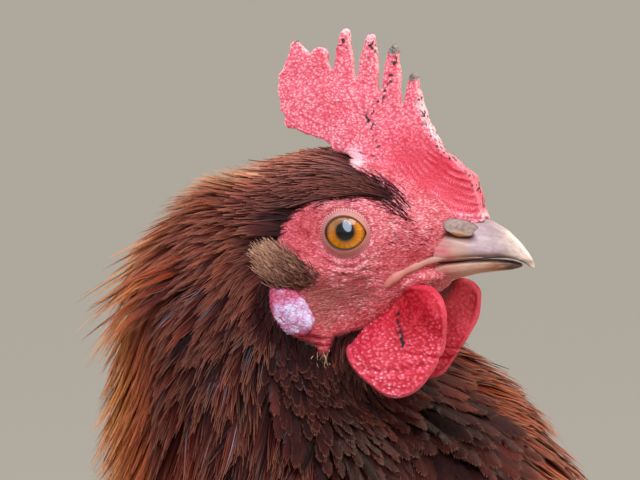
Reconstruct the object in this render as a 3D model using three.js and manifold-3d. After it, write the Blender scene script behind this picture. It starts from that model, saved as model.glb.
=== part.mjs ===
// A standing brown laying hen, life size, in millimetres: +X is the way the body faces, +Z is up.
// Each named mesh is one part of the bird. The feathered parts are drawn out to the tips of the coat.
// The head turns a little to the hen's right on a drawn-in neck, and the hen stands square on both feet.
import * as THREE from "three";
import { mergeVertices } from "three/addons/utils/BufferGeometryUtils.js";
import Module from "manifold-3d";

const wasm = await Module();
wasm.setup();

// ---- Driving dimensions -------------------------------------------------------------------------

const GAP = 0.3; // clearance between two parts that meet
const EYE_HEIGHT = 332; // floor to the centres of the eyes
const HEAD_TURN = THREE.MathUtils.degToRad(30); // to the hen's right
const HEAD_PIVOT = new THREE.Vector2(40, -14); // where the skull turns on the neck, seen from above
const SKULL_REACH = 20; // from that pivot forward to the line through both eyes

const EYEBALL_RADIUS = 6.4;
const EYEBALL_OFFSET = 8.6; // from the middle of the head to an eyeball's centre
const BILL_TIP = new THREE.Vector2(38.2, -8); // forward of the eyes and above them
const COMB_ROOT_THICKNESS = 6.5;
const COMB_TIP_THICKNESS = 2.2;
const COMB_FOOT = -2; // height of the comb's foot, inside the skull
const COMB_HEIGHT = 43.4; // height of its tallest point over the eyes
const WATTLE = { long: 25, wide: 23, thick: 3.2, forward: 11, drop: -22.5, side: 10.5 };
const EAR_LOBE = { long: 7.6, wide: 4.6, thick: 2.4 };
const EAR_COVERT = { long: 8.2, wide: 5.4, thick: 2.6 };

const WING_DEPTH = 8; // how far a folded wing's coverts stand proud of the trunk
const FLIGHT_DEPTH = 4.5; // and its flight feathers
const TAIL_RISE = THREE.MathUtils.degToRad(42);
const TAIL_ROOT = new THREE.Vector3(-112, 0, 216);

const FOOT_SPREAD = 37; // from the middle of the hen to the middle of a foot
const HOCK = new THREE.Vector3(-44, 0, 92);
const SOLE = new THREE.Vector3(-15, 0, 9); // centre of the pad where the toes meet
const SHANK_RADII = [7.6, 6.9, 5.7, 5.4, 5.6, 7]; // from the hock down to the pad
const TOES = {
  inner: { turn: 33, length: 44, radius: 4.4 },
  middle: { turn: 2, length: 60, radius: 4.8 },
  outer: { turn: -35, length: 47, radius: 4.4 },
  hind: { turn: 172, length: 23, radius: 3.9 },
};
const PAD_RADIUS = 9.5; // of the pad where they meet
const CLAW_LENGTH = 13; // of the middle toe's

// ---- Colours ------------------------------------------------------------------------------------

const paint = (color, roughness) => new THREE.MeshStandardMaterial({ color, roughness, metalness: 0 });
const chestnutFeathers = paint(0x6b2c1a, 0.7);
const darkFeathers = paint(0x4a2018, 0.7);
const rustFeathers = paint(0x8a4520, 0.75);
const tailFeathers = paint(0x5a2a1c, 0.6);
const earFeathers = paint(0x8a6650, 0.85);
const combSkin = paint(0xd8384a, 0.5);
const lobeSkin = paint(0xc9a3c4, 0.45);
const eyeAmber = paint(0xb8760e, 0.08);
const billHorn = paint(0xb59a92, 0.35);
const shankScales = paint(0xd9b04a, 0.5);
const clawHorn = paint(0xa8937c, 0.4);

// ---- Shape tools --------------------------------------------------------------------------------

// Rows of numbers, smoothly passed through, at `count` even steps from the first row to the last.
function passThrough(rows, count) {
  const track = new THREE.CubicInterpolant(rows.map((_, i) => i), rows.flat(), rows[0].length);
  const last = rows.length - 1;
  return Array.from({ length: count }, (_, i) => [...track.evaluate((i / (count - 1)) * last)]);
}

// A closed body through rings that each have the same number of points, with a fan over each end.
function skinOver(rings) {
  const around = rings[0].length;
  const centres = [rings[0], rings.at(-1)].map((ring) =>
    ring.reduce((sum, p) => sum.add(p), new THREE.Vector3()).divideScalar(around));
  const position = [...rings.flat(), ...centres].flatMap((p) => [p.x, p.y, p.z]);
  const firstCentre = rings.length * around;
  const index = [];
  for (let j = 0; j < around; j++) {
    const k = (j + 1) % around;
    for (let i = 0; i + 1 < rings.length; i++) {
      const [a, b] = [i * around, (i + 1) * around];
      index.push(a + j, a + k, b + k, a + j, b + k, b + j);
    }
    const end = (rings.length - 1) * around;
    index.push(firstCentre, k, j, firstCentre + 1, end + j, end + k);
  }
  const geometry = new THREE.BufferGeometry();
  geometry.setAttribute("position", new THREE.Float32BufferAttribute(position, 3));
  geometry.setIndex(index);
  return geometry;
}

const turns = (count) => Array.from({ length: count }, (_, i) => (i / count) * 2 * Math.PI);
const rounded = (value, squareness) => Math.sign(value) * Math.abs(value) ** (2 / squareness);

// Upright cross-sections along X. Each station is [x, top, bottom, half width, waist, squareness],
// where waist is how far up the widest level lies, from 0 to 1.
function alongX(stations, count, around, grow = 0) {
  const rings = passThrough(stations, count).map(([x, top, bottom, half, waist, squareness]) => {
    const level = bottom + (top - bottom) * waist;
    return turns(around).map((t) => {
      const reach = Math.sin(t) > 0 ? top - level : level - bottom;
      return new THREE.Vector3(x, (half + grow) * rounded(Math.cos(t), squareness),
        level + (reach + grow) * rounded(Math.sin(t), squareness));
    });
  });
  return skinOver(rings);
}

// Level cross-sections up Z. Each level is [z, front, back, half width, y, fullest], where fullest is
// how far forward the widest place lies, from 0 to 1.
function upZ(levels, count, around, grow = 0) {
  const rings = passThrough(levels, count).map(([z, front, back, half, y, fullest]) => {
    const widest = back + (front - back) * fullest;
    return turns(around).map((t) => {
      const reach = Math.cos(t) > 0 ? front - widest : widest - back;
      return new THREE.Vector3(widest + (reach + grow) * Math.cos(t), y + (half + grow) * Math.sin(t), z);
    });
  });
  return skinOver(rings);
}

// A round limb along points, with a radius at each; flatten squeezes it sideways.
function limb(points, radii, around, { flatten = 1, steps = 10, grow = 0 } = {}) {
  const path = new THREE.CatmullRomCurve3(points);
  const radiusAt = passThrough(radii.map((r) => [r]), steps + 1);
  const rings = radiusAt.map(([radius], i) => {
    const centre = path.getPoint(i / steps);
    const forward = path.getTangent(i / steps);
    const side = new THREE.Vector3(0, 1, 0);
    side.addScaledVector(forward, -side.dot(forward)).normalize();
    const up = new THREE.Vector3().crossVectors(forward, side);
    return turns(around).map((t) => centre.clone()
      .addScaledVector(side, (radius + grow) * flatten * Math.cos(t))
      .addScaledVector(up, (radius + grow) * Math.sin(t)));
  });
  return skinOver(rings);
}

// A flat outline, drawn in X and Z, given thickness along Y.
function plate(outline, thickness) {
  const geometry = new THREE.ExtrudeGeometry(new THREE.Shape(outline), { depth: thickness, bevelEnabled: false });
  return geometry.translate(0, 0, -thickness / 2).rotateX(Math.PI / 2);
}

const moveVertices = (geometry, move) => {
  const place = geometry.attributes.position;
  const point = new THREE.Vector3();
  for (let i = 0; i < place.count; i++) {
    move(point.fromBufferAttribute(place, i));
    place.setXYZ(i, point.x, point.y, point.z);
  }
  return geometry;
};

// A geometry drawn in a group's own frame, as a solid in the hen's frame.
function solid(geometry, frame) {
  const bare = geometry.index ? geometry.toNonIndexed() : geometry.clone();
  bare.deleteAttribute("normal");
  bare.deleteAttribute("uv");
  frame.updateWorldMatrix(true, false);
  const merged = mergeVertices(bare.applyMatrix4(frame.matrixWorld), 1e-4);
  const triVerts = new Uint32Array(merged.index.array);
  const closed = () => new wasm.Manifold(new wasm.Mesh({
    numProp: 3, vertProperties: merged.attributes.position.array, triVerts,
  }));
  const made = closed();
  if (made.volume() > 0) return made;
  for (let i = 0; i < triVerts.length; i += 3) triVerts.subarray(i, i + 3).reverse();
  return closed();
}

const joined = (solids) => solids.reduce((sum, next) => sum.add(next));
const without = (body, ...tools) => tools.reduce((rest, tool) => rest.subtract(tool), body);
const largest = (body) => body.decompose().sort((a, b) => b.volume() - a.volume())[0];

// Adds a solid to a group as a named mesh, drawn in that group's own frame.
function place(name, body, material, frame) {
  const { vertProperties, triVerts } = largest(body).getMesh();
  const geometry = new THREE.BufferGeometry();
  geometry.setAttribute("position", new THREE.BufferAttribute(new Float32Array(vertProperties), 3));
  geometry.setIndex(new THREE.BufferAttribute(new Uint32Array(triVerts), 1));
  frame.updateWorldMatrix(true, false);
  geometry.applyMatrix4(frame.matrixWorld.clone().invert());
  geometry.computeVertexNormals();
  const mesh = new THREE.Mesh(geometry, material);
  mesh.name = name;
  frame.add(mesh);
}

// ---- Frames -------------------------------------------------------------------------------------

const hen = new THREE.Group();

const head = new THREE.Group(); // its origin is midway between the eyes, +X towards the bill
head.position.set(
  HEAD_PIVOT.x + SKULL_REACH * Math.cos(HEAD_TURN),
  HEAD_PIVOT.y - SKULL_REACH * Math.sin(HEAD_TURN),
  EYE_HEIGHT);
head.rotation.z = -HEAD_TURN;
hen.add(head);

const tail = new THREE.Group(); // its +X runs back along the tail
tail.position.copy(TAIL_ROOT);
tail.rotation.set(0, -TAIL_RISE, Math.PI, "ZYX");
hen.add(tail);

const sides = [["right", -1], ["left", 1]];

// ---- Feathered masses ---------------------------------------------------------------------------

const skullStations = [
  [-30, 12, -22, 15, 0.5, 2.1],
  [-24, 15.4, -25, 18, 0.5, 2.1],
  [-16, 17.2, -26, 17.6, 0.52, 2.1],
  [-8, 18.4, -23.5, 16.2, 0.55, 2.2],
  [0, 17.4, -20, 14.6, 0.58, 2.2],
  [7, 14.6, -16.6, 12.6, 0.58, 2.2],
  [14, 11.2, -13.4, 10.4, 0.56, 2.2],
  [20, 8, -10.6, 8.2, 0.55, 2.2],
  [25, 4.4, -8.4, 6, 0.55, 2.2],
];
const skullShape = (grow = 0) => solid(alongX(skullStations, 10, 18, grow), head);

// From low on the breast up to the nape. X is forward of the pivot, Z is above the eyes.
const neckLevels = [
  [-140, 48, -60, 44, 0, 0.5],
  [-115, 60, -86, 58, 0, 0.5],
  [-92, 60, -76, 58, 0, 0.48],
  [-74, 54, -55, 53, -3, 0.43],
  [-58, 42, -43, 48, -6, 0.39],
  [-44, 28, -40, 42, -9, 0.38],
  [-30, 14, -40, 35, -11, 0.38],
  [-19, 8, -41, 29.5, -12.5, 0.4],
  [-9, 8, -36, 24, -13.5, 0.44],
  [0, 6, -31, 20, -14, 0.46],
  [7, 3, -24.5, 15.5, -14, 0.46],
  [12.5, -1, -15, 9, -14, 0.46],
];
// The neck's lower bend, which bulges forward over the breast behind the wattles.
const bendLevels = [
  [-150, 58, 0, 44, 0, 0.5],
  [-120, 74, -10, 56, 0, 0.5],
  [-95, 80, -12, 57, 0, 0.46],
  [-75, 80, -10, 52, 1, 0.42],
  [-60, 77, -14, 46, 2, 0.42],
  [-48, 71, -18, 39, 4, 0.44],
  [-38, 62.5, -22, 32, 6, 0.45],
  [-30, 53.5, -22, 25, 7, 0.45],
  [-22, 43.5, -16, 17, 7, 0.45],
  [-17, 36, -4, 8, 7, 0.45],
];
const overPivot = (levels) => levels.map(([z, front, back, ...rest]) =>
  [z + EYE_HEIGHT, front + HEAD_PIVOT.x, back + HEAD_PIVOT.x, ...rest]);

const trunkStations = [
  [122, 236, 218, 9, 0.5, 2],
  [119, 254, 200, 30, 0.5, 2],
  [108, 270, 180, 48, 0.5, 2.1],
  [90, 276, 158, 62, 0.48, 2.2],
  [60, 276, 134, 73, 0.47, 2.3],
  [20, 268, 116, 78, 0.5, 2.3],
  [-20, 258, 108, 78, 0.52, 2.3],
  [-60, 251, 106, 73, 0.54, 2.3],
  [-95, 250, 112, 62, 0.57, 2.2],
  [-122, 254, 130, 48, 0.6, 2.1],
  [-143, 254, 156, 32, 0.6, 2],
  [-156, 238, 186, 14, 0.55, 2],
];
const trunkShape = (grow = 0) => solid(alongX(trunkStations, 14, 22, grow), hen);

const neckAndBend = (grow = 0) => joined([
  solid(upZ(overPivot(neckLevels), 11, 16, grow), hen),
  solid(upZ(overPivot(bendLevels), 9, 16, grow), hen),
]);

const flesh = joined([trunkShape(), neckAndBend(), skullShape()]);

// A big block on one side of a plane, for parting the flesh.
const BLOCK = 600;
function halfSpace(point, normal, shift) {
  const block = new THREE.BoxGeometry(BLOCK, BLOCK, BLOCK).translate(0, 0, BLOCK / 2 + shift);
  const holder = new THREE.Object3D();
  holder.position.copy(point);
  holder.quaternion.setFromUnitVectors(new THREE.Vector3(0, 0, 1), normal.clone().normalize());
  return solid(block, holder);
}
const napeCut = { point: new THREE.Vector3(42, -18, EYE_HEIGHT + 2), normal: new THREE.Vector3(0.78, -0.4, 0.62) };
const collarCut = { point: new THREE.Vector3(60, 0, EYE_HEIGHT - 66), normal: new THREE.Vector3(0.06, 0, 1) };
const above = (cut, shift = GAP / 2) => halfSpace(cut.point, cut.normal, shift);
const below = (cut) => halfSpace(cut.point, cut.normal.clone().negate(), GAP / 2);

// ---- Head pieces that sit in or on the flesh ----------------------------------------------------

// The upper bill: upright cross-sections from the brow of the bill to its hooked tip.
const upperBillStations = [
  [17.5, 1.5, -7, 7.6, 0.2, 2],
  [22, 2.6, -6.6, 7.2, 0.2, 2],
  [26.1, 3.4, -6, 6.3, 0.18, 1.9],
  [30.5, 1.6, -5.6, 4.9, 0.2, 1.8],
  [33.5, -0.6, -5.7, 3.7, 0.25, 1.8],
  [36, -3.4, -6.6, 2.3, 0.3, 1.9],
  [37.6, -5.6, BILL_TIP.y + 0.1, 1.2, 0.4, 2],
  [BILL_TIP.x, -7.2, BILL_TIP.y, 0.5, 0.5, 2],
];
const lowerBillStations = [
  [13, -7, -12.6, 6.6, 0.7, 2],
  [17, -6.6, -11.6, 6.6, 0.7, 2],
  [22, -6, -9.8, 5.6, 0.75, 2.1],
  [28, -5.8, -8.7, 4.1, 0.75, 2.1],
  [32.5, -5.9, -8.2, 2.7, 0.7, 2.1],
  [35.4, -6.6, -7.5, 1.1, 0.6, 2],
];
const upperBill = (grow = 0) => solid(alongX(upperBillStations, 9, 12, grow), head);
const lowerBill = (grow = 0) => solid(alongX(lowerBillStations, 7, 12, grow), head);

const eyeball = (side, grow = 0) => solid(
  new THREE.SphereGeometry(EYEBALL_RADIUS + grow, 10, 7).translate(0, side * EYEBALL_OFFSET, 0), head);

// The comb's outline: its front edge, then each point with the notch behind it, then its hind lobe.
const combFront = [[22, COMB_FOOT], [27.7, 2.6], [26.3, 7.2], [24.6, 12.1], [18.1, 17.3], [14.7, 22.6], [13, 26.8]];
const combPoints = [
  { tip: [10.9, 34.3], notch: [8.3, 27.4] },
  { tip: [6.4, 40.1], notch: [3.4, 30] },
  { tip: [1.3, 42.6], notch: [-1.9, 32.6] },
  { tip: [-4.3, COMB_HEIGHT], notch: [-6.9, 34.9] },
  { tip: [-10, 38.8], notch: [-12.2, 37.5] },
  { tip: [-15.1, 40.4], notch: [-17.5, 35.9] },
];
const combLobe = [[-19.1, 31], [-18.6, 26.8], [-16.9, 22.6], [-12.6, 20.2], [-7, 18.6], [-5, 14], [2, COMB_FOOT]];
const POINT_BLUNTNESS = 0.85; // half the width across a comb point's blunt tip
const combOutline = [
  ...combFront,
  ...combPoints.flatMap(({ tip: [x, z], notch }) =>
    [[x + POINT_BLUNTNESS, z - POINT_BLUNTNESS], [x, z], [x - POINT_BLUNTNESS, z - POINT_BLUNTNESS], notch]),
  ...combLobe,
].map(([x, z]) => new THREE.Vector2(x, z));
function combShape(grow = 0) {
  const blade = moveVertices(plate(combOutline, 2), (p) => {
    const up = THREE.MathUtils.clamp((p.z - COMB_FOOT) / (COMB_HEIGHT - COMB_FOOT), 0, 1);
    p.y *= THREE.MathUtils.lerp(COMB_ROOT_THICKNESS, COMB_TIP_THICKNESS, up) / 2 + grow;
  });
  return solid(blade, head);
}

// A flat round lobe of skin, hung by its upper edge.
function lobe({ long, wide, thick }, segments) {
  const geometry = new THREE.SphereGeometry(1, segments, Math.round(segments * 0.6));
  return geometry.rotateX(Math.PI / 2).scale(wide / 2, thick / 2, long / 2);
}
function wattleShape(side, grow = 0) {
  const size = { long: WATTLE.long + 2 * grow, wide: WATTLE.wide + 2 * grow, thick: WATTLE.thick + 2 * grow };
  const geometry = lobe(size, 10)
    .rotateX(side * 0.12)
    .rotateZ(side * -0.1)
    .rotateY(0.16)
    .translate(WATTLE.forward, side * WATTLE.side, WATTLE.drop);
  return solid(geometry, head);
}
function earPatch({ long, wide, thick }, side, slope, yaw, [x, y, z], grow = 0) {
  const size = { long: 2 * (long + grow), wide: 2 * (wide + grow), thick: 2 * (thick + grow) };
  const geometry = lobe(size, 8).rotateY(slope).rotateZ(side * yaw).translate(x, side * y, z);
  return solid(geometry, head);
}
const earLobe = (side, grow = 0) => earPatch(EAR_LOBE, side, -0.85, -0.14, [-11.2, 17.4, -16.2], grow);
const earCovert = (side, grow = 0) => earPatch(EAR_COVERT, side, -1.25, -0.12, [-14, 17.6, -6.8], grow);

const bills = [upperBill(GAP), lowerBill(GAP)];
const bareHeadParts = (side) => [eyeball(side, GAP), earLobe(side, GAP), earCovert(side, GAP), wattleShape(side, GAP)];
const headTools = [...bills, ...bareHeadParts(-1), ...bareHeadParts(1)];

const skull = without(skullShape().intersect(above(napeCut)), ...headTools);
const skullRoom = skullShape(GAP).intersect(above(napeCut, -GAP / 2));
place("head", skull, darkFeathers, head);
place("upper_bill", upperBill(), billHorn, head);
place("lower_bill", without(lowerBill(), upperBill(GAP)), billHorn, head);
place("comb", without(combShape(), skullShape(GAP), upperBill(GAP)), combSkin, head);

for (const [name, side] of sides) {
  place(`eye_${name}`, eyeball(side), eyeAmber, head);
  place(`wattle_${name}`, without(wattleShape(side), ...bills), combSkin, head);
  place(`ear_lobe_${name}`, without(earLobe(side), earCovert(side, GAP)), lobeSkin, head);
  place(`ear_covert_${name}`, earCovert(side), earFeathers, head);
}

// ---- Neck, trunk, wings and tail ----------------------------------------------------------------

const neck = without(flesh.intersect(above(collarCut)), skullRoom, ...headTools);
place("neck", neck, chestnutFeathers, hen);

const tailStations = [
  [-12, 50, -26, 34, 0.4, 2],
  [10, 51, -36, 37, 0.38, 2],
  [40, 48, -41, 33, 0.36, 1.9],
  [70, 48, -41, 26, 0.33, 1.8],
  [96, 50, -36, 19, 0.33, 1.8],
  [116, 47, -20, 12.5, 0.36, 1.8],
  [131, 38, 0, 7, 0.45, 1.8],
  [138, 26, 14, 2.5, 0.5, 1.8],
];
const tailShape = (grow = 0) => solid(alongX(tailStations, 10, 16, grow), tail);
const trunkWithTailOut = without(flesh.intersect(below(collarCut)), tailShape(GAP));
place("tail", tailShape(), tailFeathers, tail);

// A folded wing's outline seen from the side: the shoulder in front, the tip over the rump.
const wingEdge = (points, count) => new THREE.SplineCurve(
  points.map(([x, z]) => new THREE.Vector2(x, z))).getPoints(count).slice(0, -1);
const flightOutline = wingEdge([
  [84, 226], [70, 244], [36, 253], [-10, 250], [-60, 244], [-105, 238], [-156, 222],
  [-130, 211], [-90, 194], [-50, 175], [-8, 162], [32, 165], [64, 184], [81, 206], [84, 226],
], 24);
// The coverts lie thicker over the front and upper part of the wing.
const covertOutline = wingEdge([
  [78, 226], [66, 240], [34, 247], [-10, 244], [-52, 236], [-78, 222], [-62, 206], [-30, 192], [10, 186],
  [46, 188], [70, 204], [78, 226],
], 18);
const thickTrunk = trunkShape(GAP);
const fleshNear = joined([thickTrunk, neckAndBend(GAP), tailShape(GAP)]);
for (const [name, side] of sides) {
  const outline = (edge) => solid(plate(edge, 100).translate(0, side * 58, 0), hen);
  const wing = without(joined([
    trunkShape(FLIGHT_DEPTH).intersect(outline(flightOutline)),
    trunkShape(WING_DEPTH).intersect(outline(covertOutline)),
  ]), fleshNear);
  place(`wing_${name}`, wing, rustFeathers, hen);
}
place("trunk", trunkWithTailOut, rustFeathers, hen);

// ---- Legs ---------------------------------------------------------------------------------------

const thighPoints = [[-6, 0, 168], [-13, 0, 146], [-26, 0, 122], [-38, 0, 102], [HOCK.x, 0, HOCK.z + 2]];
const THIGH_RADII = [34, 31, 22, 12, 9];
const asVectors = (points) => points.map((p) => new THREE.Vector3(...p));
const shankPoints = [
  HOCK.clone().add(new THREE.Vector3(-1, 0, 6)),
  HOCK,
  HOCK.clone().lerp(SOLE, 0.3),
  HOCK.clone().lerp(SOLE, 0.6),
  HOCK.clone().lerp(SOLE, 0.88),
  SOLE,
];
const FLOOR = halfSpace(new THREE.Vector3(), new THREE.Vector3(0, 0, 1), 0);

// A toe lies on the floor from inside the pad out, pressed flat underneath by its sink into the floor.
const TOE_START = 5.2; // from the middle of the pad
const TOE_SINK = 0.18; // in radii
const KNUCKLES = [1, 0.86, 1, 0.8, 0.94, 0.74, 0.7, 0.5]; // a toe's radius along it, over its pads
function toeShape({ length, radius }, frame, grow = 0) {
  const height = radius * (1 - TOE_SINK);
  const points = asVectors([[TOE_START, 0, height], [TOE_START + length, 0, height]]);
  return solid(limb(points, KNUCKLES.map((k) => k * radius), 8, { steps: 6, grow }), frame);
}

// A claw grows out of a toe's end, sized by the toe's radius, and curves down to the floor.
const CLAW_ROOT_DEPTH = 2;
function clawShape({ length, radius }, frame, grow = 0) {
  const root = TOE_START + length - CLAW_ROOT_DEPTH;
  const reach = CLAW_LENGTH * (radius / TOES.middle.radius);
  const points = asVectors([[root, 0, radius], [root + reach * 0.5, 0, radius * 0.95], [root + reach, 0, 1.1]]);
  return solid(limb(points, [radius * 0.56, radius * 0.44, 0.5], 6, { flatten: 0.8, steps: 3, grow }), frame);
}

for (const [name, side] of sides) {
  const leg = new THREE.Group();
  leg.position.y = side * FOOT_SPREAD;
  hen.add(leg);
  const shankShape = (grow) => solid(limb(shankPoints, SHANK_RADII, 10, { steps: 7, grow }), leg);
  const padShape = (grow) => solid(
    new THREE.SphereGeometry(PAD_RADIUS + grow, 10, 6).scale(1, 1, 0.85).translate(SOLE.x, 0, 6), leg);
  const shank = joined([shankShape(0), padShape(0)]).intersect(FLOOR);
  const shankGrown = joined([shankShape(GAP), padShape(GAP)]);
  place(`shank_${name}`, shank, shankScales, leg);

  const thigh = solid(limb(asVectors(thighPoints), THIGH_RADII, 16, { flatten: 0.86, steps: 7 }), leg);
  place(`thigh_${name}`, without(thigh, thickTrunk, shankGrown), rustFeathers, leg);

  const laid = [shankGrown]; // what a toe gives way to: the shank, and the toes before it
  for (const [toeName, toe] of Object.entries(TOES)) {
    const foot = new THREE.Group();
    foot.position.set(SOLE.x, 0, 0);
    foot.rotation.z = THREE.MathUtils.degToRad(-side * toe.turn);
    leg.add(foot);
    const bare = without(toeShape(toe, foot), clawShape(toe, foot, GAP), ...laid).intersect(FLOOR);
    place(`toe_${toeName}_${name}`, bare, shankScales, foot);
    place(`claw_${toeName}_${name}`, clawShape(toe, foot).intersect(FLOOR), clawHorn, foot);
    laid.push(toeShape(toe, foot, GAP));
  }
}

// ---- Origin: on the floor, under the middle of the whole hen --------------------------------------

const whole = new THREE.Box3().setFromObject(hen, true);
hen.position.set(-(whole.min.x + whole.max.x) / 2, -(whole.min.y + whole.max.y) / 2, -whole.min.z);

export default hen;
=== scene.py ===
import math

import bmesh
import bpy
import numpy as np
from mathutils import Matrix, Quaternion, Vector, noise
from mathutils.bvhtree import BVHTree


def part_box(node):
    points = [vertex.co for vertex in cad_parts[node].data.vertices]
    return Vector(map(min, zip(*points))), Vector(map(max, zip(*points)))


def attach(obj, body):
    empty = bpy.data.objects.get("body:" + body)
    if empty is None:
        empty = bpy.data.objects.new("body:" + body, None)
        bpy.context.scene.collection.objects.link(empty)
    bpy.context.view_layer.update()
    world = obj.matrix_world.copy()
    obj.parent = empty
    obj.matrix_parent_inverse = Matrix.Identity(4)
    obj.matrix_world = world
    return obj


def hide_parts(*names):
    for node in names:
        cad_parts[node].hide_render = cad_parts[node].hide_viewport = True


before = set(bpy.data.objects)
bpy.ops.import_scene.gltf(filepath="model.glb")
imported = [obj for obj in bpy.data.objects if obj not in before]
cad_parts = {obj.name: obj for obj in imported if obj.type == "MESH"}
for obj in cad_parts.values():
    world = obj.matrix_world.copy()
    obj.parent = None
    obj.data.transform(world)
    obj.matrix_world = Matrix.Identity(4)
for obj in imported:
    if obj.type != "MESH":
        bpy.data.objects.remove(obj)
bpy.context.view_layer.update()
MM = 0.001
SIDES = (("right", -1), ("left", 1))
draws = np.random.default_rng(4107)


# ---- Small tools -------------------------------------------------------------------------------------

def vec(*values):
    return np.array(values, float)


def unit(vectors):
    return vectors / np.maximum(np.linalg.norm(vectors, axis=-1, keepdims=True), 1e-12)


def ease(low, high, value):
    """0 below low, 1 above high and smooth between."""
    t = np.clip((value - low) / (high - low), 0, 1)
    return t * t * (3 - 2 * t)


def bump(value, centre, width):
    return np.exp(-(((value - centre) / width) ** 2))


def through(stops, value):
    """The values of (place, value) stops, joined by straight lines."""
    places, values = zip(*stops)
    return np.interp(value, places, values)


def linear(code):
    """An sRGB hex colour as the linear RGBA that the nodes take."""
    parts = [int(code[i:i + 2], 16) / 255 for i in (1, 3, 5)]
    return [c / 12.92 if c <= 0.04045 else ((c + 0.055) / 1.055) ** 2.4 for c in parts] + [1.0]


def node(tree, kind, inputs=(), stops=(), out=0, **settings):
    """Adds a shader node and gives one of its outputs. Inputs are values, hex colours, other nodes' outputs
    or names of numbers that the mesh stores; stops are a colour ramp's places and colours."""
    made = tree.nodes.new("ShaderNode" + kind)
    for name, value in settings.items():
        setattr(made, name, value)
    for name, value in dict(inputs).items():
        if isinstance(value, str) and value[0] == "#":
            value = linear(value)
        elif isinstance(value, str):
            value = node(tree, "Attribute", out="Fac", attribute_name=value)
        if isinstance(value, bpy.types.NodeSocket):
            tree.links.new(value, made.inputs[name])
        else:
            made.inputs[name].default_value = value
    for i, (place, code) in enumerate(stops):
        stop = made.color_ramp.elements[i] if i < 2 else made.color_ramp.elements.new(place)
        stop.position = place
        stop.color = linear(code)
    return made.outputs[out] if made.outputs else None


def material(name):
    """A new material and its empty tree of nodes."""
    made = bpy.data.materials.new(name)
    made.use_nodes = True
    made.node_tree.nodes.clear()
    return made, made.node_tree


def shaded(made, inputs):
    """Gives a material its shader, with the inputs given."""
    tree = made.node_tree
    node(tree, "OutputMaterial", {"Surface": node(tree, "BsdfPrincipled", inputs)})
    return made


def mesh_of(name, points, faces):
    """A mesh of points in metres and rows of corners, all rows as long as each other."""
    faces = np.asarray(faces, np.int32)
    mesh = bpy.data.meshes.new(name)
    mesh.vertices.add(len(points))
    mesh.vertices.foreach_set("co", np.asarray(points, np.float32).ravel())
    mesh.loops.add(faces.size)
    mesh.loops.foreach_set("vertex_index", faces.ravel())
    mesh.polygons.add(len(faces))
    mesh.polygons.foreach_set("loop_start", np.arange(0, faces.size, faces.shape[1], dtype=np.int32))
    mesh.update(calc_edges=True)
    mesh.shade_smooth()
    return mesh


def arrays_of(mesh):
    """A mesh's points, its corners per face in one row each, and its edges."""
    points = np.zeros(len(mesh.vertices) * 3)
    mesh.vertices.foreach_get("co", points)
    corners = np.zeros(len(mesh.loops), np.int32)
    mesh.loops.foreach_get("vertex_index", corners)
    edges = np.zeros(len(mesh.edges) * 2, np.int32)
    mesh.edges.foreach_get("vertices", edges)
    return points.reshape(-1, 3), corners, edges.reshape(-1, 2)


def give(mesh, **values):
    """Stores a number per vertex under each name, for the materials to read."""
    for name, value in values.items():
        mesh.attributes.new(name, "FLOAT", "POINT").data.foreach_set(
            "value", np.broadcast_to(value, len(mesh.vertices)).astype(np.float32))


def corner_map(mesh, name, places):
    """Adds a UV map from one place per face corner."""
    layer = mesh.uv_layers.new(name=name)
    layer.data.foreach_set("uv", np.asarray(places, np.float32).ravel())


def piece(name, mesh, finish, slot, *replaced):
    """Puts a mesh in the scene as a piece of the hen."""
    made = bpy.data.objects.new(name, mesh)
    bpy.context.scene.collection.objects.link(made)
    mesh.materials.append(finish)
    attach(made, "root")
    if replaced:
        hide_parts(*replaced)
    return made


def remeshed(nodes, voxel, fillers=()):
    """CAD nodes, and fillers of (middle, radius) in the head's frame, as one closed mesh of even squares."""
    merged = bmesh.new()
    for name in nodes:
        merged.from_mesh(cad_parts[name].data)
    for middle, radius in fillers:
        bmesh.ops.create_icosphere(merged, subdivisions=3, radius=radius * MM,
                                   matrix=Matrix.Translation(Vector(from_head(middle))))
    mesh = bpy.data.meshes.new("rough")
    merged.to_mesh(mesh)
    merged.free()
    rough = bpy.data.objects.new("rough", mesh)
    bpy.context.scene.collection.objects.link(rough)
    even = rough.modifiers.new("even", "REMESH")
    even.mode = "VOXEL"
    even.voxel_size = voxel
    result = bpy.data.meshes.new_from_object(rough.evaluated_get(bpy.context.evaluated_depsgraph_get()))
    bpy.data.objects.remove(rough)
    result.shade_smooth()
    return result


def relaxed(points, edges, rounds, weight=0.5):
    """Points drawn towards their neighbours, round after round. weight may differ per point."""
    count = len(points)
    near = np.bincount(edges.ravel(), minlength=count)[:, None]
    weight = np.broadcast_to(weight, count)[:, None]
    for _ in range(rounds):
        total = np.stack([
            np.bincount(edges[:, 0], points[edges[:, 1], axis], count)
            + np.bincount(edges[:, 1], points[edges[:, 0], axis], count)
            for axis in range(points.shape[1])], 1)
        points = points + weight * (total / np.maximum(near, 1) - points)
    return points


def surface_of(mesh):
    """A mesh's points and the way out of it at each."""
    ways = np.zeros(len(mesh.vertices) * 3)
    mesh.vertex_normals.foreach_get("vector", ways)
    return arrays_of(mesh)[0], ways.reshape(-1, 3)


def move(mesh, points):
    mesh.vertices.foreach_set("co", np.asarray(points, np.float32).ravel())
    mesh.update()


def raise_by(mesh, points, ways, height):
    """Moves a mesh's points out by a height in millimetres each."""
    move(mesh, points + ways * (height * MM)[:, None])


def reworked(mesh, step):
    """Runs a step of bmesh work on a mesh."""
    work = bmesh.new()
    work.from_mesh(mesh)
    step(work)
    work.to_mesh(mesh)
    work.free()


def tree_of(mesh):
    """A mesh ready for finding its nearest places and for shooting rays at it."""
    return BVHTree.FromPolygons([v.co for v in mesh.vertices], [p.vertices[:] for p in mesh.polygons])


def facing(faces, outwards):
    """Faces as they are, or turned over where they would look inwards."""
    return faces if outwards else faces[:, ::-1]


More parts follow.
